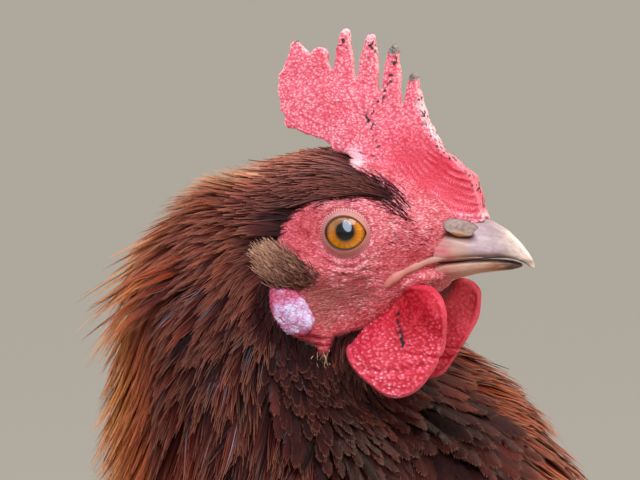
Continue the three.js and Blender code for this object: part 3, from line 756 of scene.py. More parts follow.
finishes = {
    "skin": skin_finish(), "comb": comb_finish(), "lobe": lobe_finish(), "eye": eye_finish(),
    "lid": lid_finish(),
    "upper_horn": horn_finish("upper_bill_horn", [
        (0.05, "#ae4653"), (0.12, "#b4686a"), (0.2, "#a87c70"), (0.32, "#a88478"), (0.42, "#998088"),
        (0.52, "#a99396"), (0.64, "#978086"), (0.74, "#ab9794"), (0.9, "#c8b6a6"), (1.0, "#dccba6")], 0.34),
    "lower_horn": horn_finish("lower_bill_horn", [
        (0.05, "#ae4653"), (0.14, "#b87a70"), (0.45, "#c09a8a"), (0.74, "#a0705a"), (0.95, "#4c2c22")], 0.36),
    "flap_horn": horn_finish("nostril_flap_horn", [
        (0.1, "#5c4642"), (0.34, "#7e645e"), (0.6, "#9a847d"), (0.78, "#a06e50"), (1.0, "#ae7648")], 0.62),
    "gape": horn_finish("gape_skin", [(0.0, "#bc5c5a"), (0.45, "#bb7468"), (1.0, "#ac887c")], 0.5),
}


# ---- Skin as a piece ---------------------------------------------------------------------------------

def finish_skin():
    points = arrays_of(skin)[0]
    x, _, z = to_head(points).T
    # Redder by the corner of the mouth, at the ear and behind the eye, paler in a ring round the eye. The
    # rolls under the lobe are painted paler on their backs and darker between them: painted highlight and
    # painted shade.
    flush = 0.4 * bump(np.hypot(x - 13, z + 6), 0, 4.5) - 0.2 * bump(np.hypot(x, z), 7, 3) \
        + 0.5 * ease(-16, -24, z) + 0.7 * ease(-20, -22, z) * ease(-5, -7, x) \
        + 0.3 * ease(-11, -16, x) - 0.6 * lobe_rolls(x, z) \
        + 0.85 * bump(np.hypot(x + 9.5, (z - 1) * 0.7), 0, 5)
    # Beside the comb's root it is as red as the comb, but for a patch of dry whitish crust behind.
    heat = np.maximum(ease(-6, 2, z - 12 + 1.1 * x * (x > 0)) * ease(6, 9, z + 0.25 * x),
                      ease(8, 15, x) * ease(-7, 1, z))
    crust = bump(np.hypot(x + 0.6, (z - 15.2) * 0.8), 0, 2.2) * (0.7 + 0.6 * grain(points, 1 * MM, "clouds"))
    give(skin, bare=bare_at(points), tone=coat_at(points)["tone"], flush=flush + 0.05 * heat - 2.4 * crust,
         heat=heat * (1 - np.clip(crust, 0, 0.8)))
    piece("skin", skin, finishes["skin"], "body_feathers", *SKIN_NODES)


finish_skin()
skin_tree = tree_of(skin)


def beside_head(x, z, side):
    """How far out from the head's middle the skin lies at a place seen from the side, in millimetres."""
    start, ahead = Vector(from_head((x, side * 40, z))), Vector(HEAD_AXES @ vec(0, -side, 0))
    hit = skin_tree.ray_cast(start, ahead)[0]
    return abs(to_head(np.array(hit))[1]) if hit else 0.0


# ---- Eyes and their lids -----------------------------------------------------------------------------

EYEBALL_RADIUS, EYEBALL_OUT = 6.4, 8.6  # radius, and from the head's middle to its centre


def eyeball(name, side):
    rings, spokes = 72, 128
    turn, fall = np.meshgrid(np.linspace(0, 2 * np.pi, spokes, endpoint=False),
                             np.linspace(0.004, 0.62 * np.pi, rings))
    out = EYEBALL_RADIUS * np.sin(fall)
    local = np.stack([out * np.cos(turn), side * (EYEBALL_OUT + EYEBALL_RADIUS * np.cos(fall)),
                      out * np.sin(turn)], -1).reshape(-1, 3)
    faces = grid_faces(rings, spokes, closed=True)
    mesh = mesh_of(f"eye_{name}", from_head(local), facing(faces, side > 0))
    fibres = grain(np.stack([9 * np.cos(turn), 9 * np.sin(turn), 0.5 * fall], -1).reshape(-1, 3), 1, "clouds")
    # The pupil sits a little forward and high in the iris.
    shift = np.maximum(1 - (out / (0.7 * EYEBALL_RADIUS)) ** 2, 0)
    ring = np.hypot(out * np.cos(turn) - 0.4 * shift, out * np.sin(turn) - 0.5 * shift)
    # The upper part of the iris, outside the pupil, is marked for painted shade under the lid and a painted
    # sky reflection.
    give(mesh, ring=ring.ravel() / EYEBALL_RADIUS, spoke=0.2 + 0.4 * np.clip(fibres, -0.5, 0.5),
         above=0.6 * ease(0.2, 3.6, local[:, 2] - 0.6 * local[:, 0]) * (out.ravel() > 0.34 * EYEBALL_RADIUS))
    wet_eyes.objects.link(piece(f"eye_{name}_ball", mesh, finishes["eye"], "eye", f"eye_{name}"))


def lids(name, side):
    """The ring of lid round an eye: pointed in front, round behind, lying on the ball."""
    rows, count, ticks = 22, 434, 62
    turn = np.linspace(0, 2 * np.pi, count, endpoint=False)
    front = np.maximum(np.cos(turn), 0)
    opening = np.stack([np.where(np.cos(turn) > 0, 4.65, 4.3) * np.cos(turn),
                        3.5 * np.sign(np.sin(turn)) * np.abs(np.sin(turn)) ** (1 + 0.45 * front)], 1)
    outer = np.stack([5.85 * np.cos(turn) - 0.3, 5.7 * np.sin(turn) - 0.25], 1)
    shares = np.linspace(-0.1, 1, rows)[:, None, None]
    flat = opening + (outer - opening) * shares
    ball = EYEBALL_OUT + np.sqrt(EYEBALL_RADIUS ** 2 - np.minimum(np.hypot(*opening.T), 6) ** 2)
    share = shares[:, :, 0]
    height = (ball + 0.28) * (1 - ease(0.1, 0.85, share)) + 12.95 * ease(0.1, 0.85, share)
    height = height + 0.3 * bump(share, 0.24, 0.24) - 0.5 * ease(0.0, -0.1, share) - 0.7 * ease(0.9, 1, share)
    uneven = 0.75 + 0.25 * np.sin(5 * turn + 1) * np.sin(3 * turn)
    uneven = uneven * (0.35 + 0.65 * ease(-0.5, 0.4, np.sin(turn)))
    comb = (uneven * np.cos(ticks * turn + 0.8 * np.sin(7 * turn)))[None, :]
    comb = comb * ease(0.5, 0.64, share) * ease(0.98, 0.86, share)
    height = height + 0.06 * comb - 0.14 * bump(share, 0.5, 0.06) - 0.1 * bump(share, 0.92, 0.06)
    local = np.stack([flat[..., 0], side * height, flat[..., 1]], -1).reshape(-1, 3)
    mesh = mesh_of(f"lids_{name}", from_head(local), facing(grid_faces(rows, count, closed=True), side < 0))
    give(mesh, across=np.broadcast_to(share, (rows, count)).ravel(), tick=0.5 + 0.5 * comb.ravel(),
         high=0.25 * np.broadcast_to(ease(-0.2, 0.9, np.sin(turn))[None, :], (rows, count)).ravel())
    piece(f"lids_{name}", mesh, finishes["lid"], "comb_skin")


for eye_name, eye_side in SIDES:
    eyeball(eye_name, eye_side)
    lids(eye_name, eye_side)


# ---- Bill --------------------------------------------------------------------------------------------

BILL_VOXEL = 0.3 * MM
FLAP_MIDDLE, FLAP_TILT = (23.0, 5.6, 1.1), math.radians(13)


def bill(name, finish, rounds, front, rear):
    mesh = remeshed([name], BILL_VOXEL)
    points, _, edges = arrays_of(mesh)
    points = relaxed(points, edges, rounds)
    x, _, z = to_head(points).T
    # The nostril: a slit under a horny flap, cut into each side of the upper bill.
    slit = z - FLAP_MIDDLE[2] + (x - FLAP_MIDDLE[0]) * math.sin(FLAP_TILT)
    cut = bump(slit, -1.5, 0.85) * ease(18.6, 20.4, x) * ease(27, 24.5, x) * (name == "upper_bill")
    local = to_head(points)
    local[:, 1] -= np.sign(local[:, 1]) * 1.8 * cut
    move(mesh, from_head(local))
    # Painted shade darkens the slit and a line along the mouth.
    mouth = np.interp(x, (10, 18, 24, 31, 35), (-9.5, -6.6, -5.2, -5, -6.2))
    grime = 0.8 * cut + 0.55 * bump(z, mouth, 0.5) * ease(20, 27, x)
    give(mesh, along=np.interp(x + 0.5 * z, (rear, front), (-0.07, 0.83)), grime=np.clip(grime, 0, 1))
    piece(f"{name}_horn", mesh, finishes[finish], "bill_horn", name)


bill("upper_bill", "upper_horn", 9, 38, 18.5)
bill("lower_bill", "lower_horn", 7, 31, 16)


def swept(path, radii, around=20, squeeze=1.0, squeeze_way=(0, 1, 0)):
    """Points and faces of a closed limb along a path of points, with a radius at each."""
    path, radii = np.asarray(path, float), np.asarray(radii, float)
    ahead = unit(np.gradient(path, axis=0))
    side = unit(np.cross(ahead, np.broadcast_to(vec(*squeeze_way), ahead.shape)))
    other = np.cross(side, ahead)
    turn = np.linspace(0, 2 * np.pi, around, endpoint=False)
    rings = path[:, None] + radii[:, None, None] * (
        side[:, None] * np.cos(turn)[None, :, None] + squeeze * other[:, None] * np.sin(turn)[None, :, None])
    return rings.reshape(-1, 3), grid_faces(len(path), around, closed=True)


def smooth_path(points, count):
    """A curve through points, by their running length, at even steps."""
    points = np.asarray(points, float)
    run = np.concatenate([[0], np.cumsum(np.linalg.norm(np.diff(points, axis=0), axis=1))])
    steps = np.linspace(0, run[-1], count)
    # Cubic through the points with slopes taken from their neighbours.
    slopes = np.gradient(points, run, axis=0)
    i = np.clip(np.searchsorted(run, steps, side="right") - 1, 0, len(run) - 2)
    h = (run[i + 1] - run[i])[:, None]
    t = ((steps - run[i]) / h[:, 0])[:, None]
    return ((2 * t ** 3 - 3 * t ** 2 + 1) * points[i] + (t ** 3 - 2 * t ** 2 + t) * h * slopes[i]
            + (-2 * t ** 3 + 3 * t ** 2) * points[i + 1] + (t ** 3 - t ** 2) * h * slopes[i + 1])


FLAP_REACH = 1.12  # the flap's rim, where its middle is 0 and the edge of its top 1


def nostril_flap(name, side):
    """The flat grey horny flap that roofs a nostril: a lens lying on the bill's side, thick-lipped below."""
    rows, around = 18, 64
    turn, share = np.meshgrid(np.linspace(0, 2 * np.pi, around, endpoint=False),
                              np.linspace(0, FLAP_REACH, rows))
    wavy = 1 + 0.035 * np.sin(3 * turn + 1) + 0.02 * np.sin(7 * turn)
    ahead = 3.35 * share * np.cos(turn) * wavy
    high = 1.6 * share * np.sin(turn) * (1 + 0.14 * np.cos(turn)) * wavy
    out = 0.85 * np.sqrt(np.maximum(FLAP_REACH ** 2 - share ** 2, 0)) ** 0.8
    out = out + 0.25 * bump(high, -1.15, 0.3) * (share < 1.02)
    rough = grain(np.stack([ahead, high, 0 * high], -1).reshape(-1, 3), 0.7, "clouds").reshape(out.shape)
    out = 0.8 * out + (0.1 * np.sin(1.9 * ahead + 0.7) + 0.16 * rough) * ease(1.05, 0.8, share)
    x = FLAP_MIDDLE[0] + ahead * math.cos(FLAP_TILT) + high * math.sin(FLAP_TILT)
    z = FLAP_MIDDLE[2] - ahead * math.sin(FLAP_TILT) + high * math.cos(FLAP_TILT)
    y = FLAP_MIDDLE[1] + out - 0.34 * ahead - 0.3 * high - 0.05 * ahead ** 2
    points = np.stack([x, side * y, z], -1).reshape(-1, 3)
    mesh = mesh_of(f"nostril_flap_{name}", from_head(points),
                   facing(grid_faces(rows, around, closed=True), side > 0))
    # The flap's rim and the hollow under its lower rear are darkened: painted shade.
    give(mesh, along=(0.28 + 0.2 * rough + 0.5 * ease(-0.8, -1.3, high) * ease(-3, 0, ahead)).ravel(),
         grime=(0.5 * ease(1.0, 1.08, share) + 0.5 * ease(-1.2, -1.5, high) * ease(0, -2, ahead)).ravel())
    piece(f"nostril_flap_{name}", mesh, finishes["flap_horn"], "bill_horn")


# Forward and up along two ridges beside the mouth, in millimetres.
GAPE = [(28, -5.3), (24.5, -5.2), (20.5, -5.2), (17, -6), (14, -7.2), (11.2, -8.6), (9, -10.2), (7.6, -11.6)]
MOUTH_FOLD = [(9, -12.6), (12, -11), (15, -9.6), (18, -8.9), (20.5, -8.7)]
# Each ridge's radius, by the share of the way along it.
GAPE_RADII = [(0, 0.05), (0.2, 0.4), (0.5, 0.68), (0.88, 1.0), (0.97, 0.9), (1, 0.4)]
MOUTH_FOLD_RADII = [(0, 0.2), (0.15, 1.1), (0.5, 1.9), (0.8, 1.7), (0.95, 1), (1, 0.1)]


def ridge_path(marks, side, steps, least, sunk):
    """A curve over the skin through (forward, up) marks. least is two places forward and how far out the
    skin counts there at least; sunk is how deep the curve then lies, by its place forward."""
    return smooth_path([(x, max(beside_head(x, z, side), np.interp(x, *least)) - sunk(x), z)
                        for x, z in marks], steps)


def gape(name, side):
    """The fleshy ridge from the bill's cutting edge back to the corner of the mouth."""
    steps, around = 60, 20
    path = ridge_path(GAPE, side, steps, ((7, 28), (9.8, 5)), lambda x: 0.3 * (x >= 10))
    along = np.linspace(0, 1, steps)
    radii = through(GAPE_RADII, along) * (1 + 0.12 * np.sin(31 * along))
    points, faces = swept(path, radii, around, 0.8)
    points[:, 1] *= side
    mesh = mesh_of(f"gape_{name}", from_head(points), facing(faces, side < 0))
    give(mesh, along=np.repeat(1 - along, around))
    piece(f"gape_{name}", mesh, finishes["gape"], "comb_skin")


def mouth_fold(name, side):
    """The crumpled skin under the gape, over the root of the lower bill."""
    steps, around = 70, 36
    path = ridge_path(MOUTH_FOLD, side, steps, ((9, 20.5), (8, 4.2)), lambda x: 0.5)
    points, faces = swept(path, through(MOUTH_FOLD_RADII, np.linspace(0, 1, steps)), around)
    points[:, 1] *= side
    crumple = 0.5 * grain(points * (1, 1, 1.6), 1.6, "clouds") + 0.35 * grain(points, 0.9)
    points[:, 2] += crumple * 0.5
    points[:, 1] += side * crumple * 0.7
    mesh = mesh_of(f"mouth_fold_{name}", from_head(points), facing(faces, side < 0))
    # The crumples are painted darker in their hollows and paler on their crests: painted shade and painted
    # highlight.
    give(mesh, bare=1.0, tone=0.2, flush=0.2 - 0.9 * crumple, heat=0.25)
    piece(f"mouth_fold_{name}", mesh, finishes["skin"], "comb_skin")


for bill_name, bill_side in SIDES:
    nostril_flap(bill_name, bill_side)
    gape(bill_name, bill_side)
    mouth_fold(bill_name, bill_side)


# ---- Comb, wattles and ear lobes ---------------------------------------------------------------------

COMB_VOXEL, LOBE_VOXEL = 0.27 * MM, 0.24 * MM
COMB_FRONT_EDGE = [(28, 2), (26.5, 7), (24.6, 12), (18.2, 17.3), (14.8, 22.5), (12.6, 28)]
FROSTED_TIPS = {(10.9, 34.3): 2.9, (6.4, 40.1): 3.1, (-15, 40.6): 0.8, (1.3, 42.6): 0.9}
PALE_TIPS = {(1.3, 42.6): 2.8, (-4.3, 43.4): 2.2, (-1.6, 15.8): 3.2, (-0.2, 13.8): 2.4}
# The notches, and how much deeper each is cut.
NOTCHES = {(-7, 36.3): 1.3, (-1.8, 34.4): 1.6, (3.5, 31.9): 2.0, (8.6, 29.3): 2.1}
KNOBS = {(-10, 37): 2.1, (-15, 38.8): 1.2}  # rear points that end in a round knob, and its radius
PECKS = [(7.3, 36.6), (6.2, 33), (5.5, 30), (3.7, 28), (2.9, 26.6), (1.1, 24.2), (2.6, 21.7), (3.1, 19.3),
         (4.4, 15.9)]  # a line of old scabs


def comb():
    mesh = remeshed(["comb"], COMB_VOXEL)
    points, _, edges = arrays_of(mesh)
    points = to_head(relaxed(points, edges, 5))
    for (notch_x, notch_z), deeper in NOTCHES.items():
        away = np.hypot((points[:, 0] - notch_x) / 1.4, (points[:, 2] - notch_z) / 2.4)
        points[:, 2] -= deeper * bump(away, 0, 1)
    points = from_head(points)
    # Its foot spreads and sinks into the skin of the skull.
    over = np.array([skin_tree.find_nearest(p)[3] for p in points.tolist()]) / MM
    foot = to_head(points)
    foot[:, 2] -= 4.2 * ease(5, 0.8, over)
    foot[:, 1] += np.sign(foot[:, 1]) * 2.6 * ease(6, 0.5, over) ** 2 * ease(-8, 6, foot[:, 0])
    move(mesh, from_head(relaxed(foot, edges, 3)))
    points, ways = surface_of(mesh)
    x, y, z = to_head(points).T
    flat = ease(0.3, 0.8, np.abs(ways @ HEAD_AXES[:, 1]))  # 0 on the rims
    low_front = ease(4, 9, x) * ease(20, 14, z) * flat
    # Wrinkles run down from the blade's middle and bend forward to its front edge.
    run = z + 0.875 * (x - 14) - 0.035 * (x - 14) ** 2 + 0.45 * grain(points, 4 * MM, "clouds")
    wave = np.cos(2 * np.pi * run / 1.5) * ease(-0.7, 0, grain(points, 3.3 * MM, "clouds"))
    swell = 0.32 * grain(points, 6 * MM, "clouds")
    pebbles = 0.32 * grain(points * (1, 1, 1.3), 0.7 * MM) * (1 - 0.85 * low_front)
    ripple = (0.45 + 0.9 * ease(-12, -16, x)) * grain(points, 2.3 * MM, "clouds") * (1 - flat)
    for (knob_x, knob_z), radius in KNOBS.items():
        short = np.clip(radius - np.hypot(x - knob_x, z - knob_z), 0, 0.9)
        ripple = ripple + short * (1 - flat) * ease(knob_z - 1.2, knob_z - 0.2, z)
    height = 0.17 * wave * low_front + swell + ripple + pebbles * (0.3 + 0.7 * flat) - 0.2
    points = points + ways * (height * MM)[:, None]
    sway = to_head(points)
    sway[:, 1] += 0.9 * np.sin(x / 7 + 0.5) * ease(8, 40, z)  # the blade isn't quite flat
    move(mesh, from_head(sway))
    from_front = from_line(COMB_FRONT_EDGE, x, z)
    rim = np.maximum(0.75 * bump(from_front, 0, 0.9), 0.85 * ease(0.5, 1, wave) * low_front)
    rim = np.maximum(rim, 0.45 * ease(0.7, 0.2, flat) * ease(8, 14, z))
    specked = bump(from_front, 0, 0.8)
    for (tip_x, tip_z), reach in PALE_TIPS.items():
        away = np.hypot(x - tip_x, z - tip_z)
        rim = np.maximum(rim, 0.95 * ease(reach, reach * 0.2, away))
        specked = np.maximum(specked, bump(away, 1.3 * reach, 1.8) * (tip_z > 30))
    grey = np.zeros(len(x))
    for (tip_x, tip_z), reach in FROSTED_TIPS.items():
        grey = np.maximum(grey, ease(reach, reach * 0.6, np.hypot(x - tip_x, z - tip_z)))
    spots = grain(points, 0.8 * MM, "clouds")
    scab = ease(0.12, 0.26, spots) * bump(from_line(PECKS, x, z), 0, 0.75) * (y < 0)
    scab = np.maximum(scab, ease(0.2, 0.34, spots) * specked)
    give(mesh, rim=rim, grey=grey, scab=np.clip(1.3 * scab, 0, 1),
         flush=0.7 * ease(24, 13, z) * ease(2, 12, x) * ease(2, 6, z) * ease(0.2, 3.4, over))
    piece("comb_blade", mesh, finishes["comb"], "comb_skin", "comb")


WATTLE_MIDDLE = (11.5, -23.6)  # forward and up
# A wattle's radius round its middle, in degrees up from straight ahead and millimetres.
WATTLE_EDGE = [
    (-180, 12.6), (-164, 12.6), (-148, 11.8), (-128, 11.3), (-108, 11.7), (-92, 12), (-78, 11.4), (-63, 10.4),
    (-43, 9.5), (-21, 9.4), (5, 10.2), (23, 12), (35, 13.6), (48, 14.6), (60, 14.6), (73, 13.2), (100, 11.4),
    (130, 11), (159, 11.8), (180, 12.6)]
# The left one is smaller and stands up to a corner in front: its share of that radius.
LEFT_WATTLE = [(-120, 0.93), (-90, 0.79), (-20, 0.82), (20, 0.96), (36, 1), (50, 1.13), (57, 1.15), (65, 0.8),
               (80, 0.7), (120, 0.75), (150, 0.9)]
WATTLE_SCABS = [(10, -17.5), (11, -20.5), (12.2, -24)]


def wattle_shape(name, side, turn, share, edge):
    """A wattle's mesh, as rings round its middle on its outer and inner face, out to an edge."""
    rows, around = turn.shape
    reach = share * edge * (1 + 0.008 * np.sin(9 * turn) * (share > 0.8))
    across, down = reach * np.cos(turn), reach * np.sin(turn)
    thick = 1.3 * np.sqrt(np.maximum(1 - share ** 6, 0)) + 0.4 * bump(share, 0.93, 0.05)
    # It hangs from under the jaw's fold: above a slanting line it runs in behind the fold. Its front corner
    # curls out.
    above = (down - 0.66 * across - 3.4) / 1.2
    hidden = 5.2 * ease(-1.2, 5, above)
    dish = 1.6 * bump(np.hypot(across - 1, down - 2), 0, 6.5)
    curl = 2.2 * ease(6.5, 12, 0.75 * across + 0.66 * down)
    layers = []
    for face in (1, -1):
        out = 10.9 - hidden - dish + curl + 0.6 * ease(0, -10, down) + face * thick
        layers.append(np.stack([WATTLE_MIDDLE[0] + across - 0.325 * (hidden + dish), side * out,
                                WATTLE_MIDDLE[1] + down], -1).reshape(-1, 3))
    faces = grid_faces(rows, around, closed=True)
    mesh = mesh_of(f"wattle_{name}", from_head(np.concatenate(layers)), np.concatenate([
        facing(faces, side > 0), facing(faces, side < 0) + rows * around]))
    reworked(mesh, lambda work: bmesh.ops.remove_doubles(work, verts=work.verts, dist=0.04 * MM))
    return mesh


def wattle(name, side):
    """A round flap of skin hung from the jaw: dished above, full below, with a rolled rim."""
    turn, share = np.meshgrid(np.linspace(-np.pi, np.pi, 320, endpoint=False), np.linspace(0, 1, 66))
    edge = through(WATTLE_EDGE, np.degrees(turn[0]))
    if side > 0:
        edge = edge * through(LEFT_WATTLE, np.degrees(turn[0]))
    for _ in range(40):
        edge = (np.roll(edge, 1) + 2 * edge + np.roll(edge, -1)) / 4
    mesh = wattle_shape(name, side, turn, share, edge)
    points, ways = surface_of(mesh)
    x, y, z = to_head(points).T
    forward, high = x - WATTLE_MIDDLE[0], z - WATTLE_MIDDLE[1]
    from_middle = np.hypot(forward, high) / np.interp(np.arctan2(high, forward), turn[0], edge)
    pebbles = 0.15 * grain(points * (0.85, 0.85, 1.1), 0.76 * MM, "domes") * ease(1.02, 0.85, from_middle)
    fold = -0.55 * bump(z + 29.6 - 0.02 * (x - 8) ** 2, 0, 0.6) * ease(2, 5, x) * ease(20, 16, x)
    crease = -0.35 * bump(z + 26 + 0.12 * (x - 16), 0, 0.4) * ease(11, 14, x)
    swell = 0.35 * grain(points, 5 * MM, "clouds")
    raise_by(mesh, points, ways, pebbles + fold + crease + swell - 0.14)
    mesh.shade_smooth()
    scab = bump(from_line(WATTLE_SCABS, x, z), 0, 0.6) * (y * side > 0) * (side < 0)
    scab = scab * ease(-0.12, 0.12, grain(points, 0.8 * MM, "clouds"))
    # The left one's upper rear is painted dark red and half black-brown: painted shade of the folds under the
    # jaw.
    shaded_by = ease(0.5, -2, 0.85 * (x - 15.7) - 0.53 * (z + 17.4)) * ease(-20, -15, z) * (side > 0)
    # The near one's top is painted darker red, painted shade under the jaw; the pebbles' domes are painted
    # paler, painted highlights; both wattles are paler towards the foot.
    flush = 1.0 + 1.0 * bump(np.hypot(x - 13, z + 16), 0, 6.5) * (side < 0) \
        - (8 if side < 0 else 4) * pebbles - 0.2 * ease(-28, -34, z) + 1.3 * shaded_by
    give(mesh, rim=0.7 * ease(0.86, 0.99, from_middle) * (1 - shaded_by), grey=0.0,
         scab=np.clip(1.4 * scab, 0.5 * shaded_by, 1), flush=flush)
    piece(f"wattle_{name}_flap", mesh, finishes["comb"], "comb_skin", f"wattle_{name}")


def ear_lobe(name, side):
    mesh = remeshed([f"ear_lobe_{name}"], LOBE_VOXEL)
    points, _, edges = arrays_of(mesh)
    move(mesh, from_head(to_head(relaxed(points, edges, 10)) + vec(-1, 0.2 * side, 0)))
    points, ways = surface_of(mesh)
    plates = grain(points * (1, 1, 1.5), 1.6 * MM)
    swell = 0.4 * grain(points, 2.6 * MM, "clouds")
    raise_by(mesh, points, ways, 0.3 * np.minimum(plates, 0.25) + swell + 0.1)
    x, _, z = to_head(points).T
    centre = np.hypot((x + 11.4) / 7, (z + 16.3) / 6)
    # The cracks are deep at its rear and foot, and fade out on the smooth part in front.
    cracked = 0.35 + 0.65 * ease(1, -3.5, (x + 12.4) + 0.9 * (z + 16.3))
    pink = 0.7 * ease(0.8, 1.02, centre) + 0.55 * ease(-16.6, -13, z - 0.3 * (x + 12)) \
        + 0.4 * ease(-12.5, -16, x) + 0.4 * ease(0.12, 0.02, plates) + 0.3 * grain(points, 2.4 * MM, "clouds")
    give(mesh, plate=cracked, flush=pink)
    piece(f"ear_lobe_{name}_skin", mesh, finishes["lobe"], "ear_lobe_skin", f"ear_lobe_{name}")


comb()
for hung_name, hung_side in SIDES:
    wattle(hung_name, hung_side)
    ear_lobe(hung_name, hung_side)


# ---- Feathers ----------------------------------------------------------------------------------------
# A feather is a shaft with two webs that roof away from it. Each web's rim is cut into barbs that point
# forward. Every corner knows how far it lies from the shaft and on which barb, for the finish to streak.

COAT_LIMIT = 190_000  # triangles in one piece of coat
PATCH = 0.003  # a feather's patch on the unwrapped skin
CAMBER = 0.22  # how far a web falls for each step away from the shaft
BLADES, BLADE_ROWS = 14, 6  # in a loose feather, and points along each


def skin_near(points):
    """The nearest place of the skin to each point and the way out of it there."""
    shape = points.shape
    found = [skin_tree.find_nearest(p) for p in points.reshape(-1, 3).tolist()]
    return np.array([f[0] for f in found]).reshape(shape), np.array([f[1] for f in found]).reshape(shape)


def web(s, roundness):
    """A web's width along the shaft, as a share of its widest: from a lance to a broad round end."""
    lance = ease(-0.25, 0.35, s) * np.maximum(1 - s ** 2.4, 0) ** 0.75
    broad = ease(-0.2, 0.35, s) * np.sqrt(np.maximum(1 - np.clip((s - 0.6) / 0.4, 0, 1) ** 2, 0))
    return lance + (broad - lance) * roundness


def vanes(shafts, ups, width, roundness, tone, edge, loose, places, painted_sheen=0.0):
    """Whole feathers along their shafts. loose runs from 0, a closed web, to 1, a ragged one. The last
    argument is how strongly the one web carries painted sheen, a painted highlight in streaks."""
    count, rows = shafts.shape[:2]
    width, roundness, tone, edge, loose, painted_sheen = (np.broadcast_to(v, count)[:, None] for v in (
        width, roundness, tone, edge, loose, painted_sheen))
    s = np.linspace(0, 1, rows)[None]
    ahead = unit(np.gradient(shafts, axis=1))
    side = unit(np.cross(ahead, ups))
    up = np.cross(side, ahead)
    steps = np.linalg.norm(np.diff(shafts, axis=1), axis=2)
    along = np.concatenate([np.zeros((count, 1)), np.cumsum(steps, 1)], 1)
    half = width / 2 * np.maximum(web(s, roundness), 0.1 * (s > 0.5))
    slant = 3.2 - 2.2 * roundness
    inner = 0.55 + 0.27 * roundness  # where the whole web ends and its free barbs begin
    split = 1 - 0.6 * loose * (draws.random((count, rows)) < 0.14)
    corners = []  # rows of them: where they are, then out, barb, rim, share along and shine

    def mid(values):
        return (values[:, 1:] + values[:, :-1]) / 2

    def add(spots, out, barb, rim, share, shine):
        corners.append([spots, out, barb] + [np.broadcast_to(v, out.shape) for v in (rim, share, shine)])

    for sign in (-1, 0, 1):
        reach = inner * half * split * abs(sign)
        add(shafts + side * (sign * reach)[..., None] - up * (CAMBER * reach)[..., None], reach,
            along - slant * reach, 0.15 * abs(sign) * ease(0.3, 0.8, s) + 0.3 * ease(0.93, 1, s), s,
            painted_sheen * (sign > 0) * bump(s, 0.62, 0.2))
    for sign in (-1, 1):
        reach = mid(half) * (1 + loose * draws.uniform(-0.3, 0.45, (count, rows - 1)))
        forward = slant * (reach - inner * mid(half)) \
            + steps * (0.35 + 0.9 * loose * draws.random(reach.shape))
        fall = CAMBER * reach * draws.uniform(0.6, 1.5, reach.shape)
        add(mid(shafts) + mid(side) * (sign * reach)[..., None] + mid(ahead) * forward[..., None]
            - mid(up) * fall[..., None], reach, mid(along) - slant * inner * mid(half),
            0.55 + 0.45 * ease(0.4, 0.9, mid(s)), mid(s), painted_sheen * (sign > 0) * bump(mid(s), 0.62, 0.2))
    end = (along[:, -1:] / rows) * (1 + 0.6 * loose)
    add(shafts[:, -1:] + ahead[:, -1:] * end[..., None], 0 * end, along[:, -1:] + end, 1, 1, 0)

    k = np.arange(rows - 1)
    left, shaft, right, left_tip, right_tip = k, k + rows, k + 2 * rows, k + 3 * rows, k + 4 * rows - 1
    faces = np.concatenate([np.stack(three, 1) for three in (
        (left, shaft, shaft + 1), (left, shaft + 1, left + 1), (shaft, right, right + 1),
        (shaft, right + 1, shaft + 1), (left, left + 1, left_tip), (right, right_tip, right + 1))])
    last = 5 * rows - 2
    faces = np.concatenate([faces, [(rows - 1, 2 * rows - 1, last), (2 * rows - 1, 3 * rows - 1, last)]])
    spots, out, barb, rim, share, shine = (np.concatenate(v, 1) for v in zip(*corners))
    tone = tone + (0.4 - 0.2 * roundness) * (share - 0.78)
    return feathers(spots, faces, out, barb, tone, edge * rim, places, share, shine)


def strands(shafts, ups, width, tone, edge, places, painted_sheen=0.0):
    """Hair-like feathers: flat blades that run to a point."""
    count, rows = shafts.shape[:2]
    tone, edge, painted_sheen = (np.broadcast_to(v, count)[:, None] for v in (tone, edge, painted_sheen))
    s = np.linspace(0, 1, rows)[None]
    side = unit(np.cross(np.gradient(shafts, axis=1), ups))
    half = np.broadcast_to(width, count)[:, None] / 2 * np.sqrt(1 - 0.85 * s ** 2)
    body = np.concatenate([shafts + side * (sign * half)[..., None] for sign in (-1, 1)], 1)
    k = np.arange(rows - 1)
    faces = np.concatenate([np.stack((k, k + rows, k + rows + 1), 1), np.stack((k, k + rows + 1, k + 1), 1)])
    out = np.concatenate([half, half], 1)
    share = np.tile(s, (count, 2))
    length = np.linalg.norm(shafts[:, -1] - shafts[:, 0], axis=1)[:, None]
    return feathers(body, faces, out, 0 * out, tone + 0.24 * (share - 0.6), edge * share ** 3, places,
                    share * np.minimum(length / MM, 1), painted_sheen * bump(share, 0.55, 0.25))


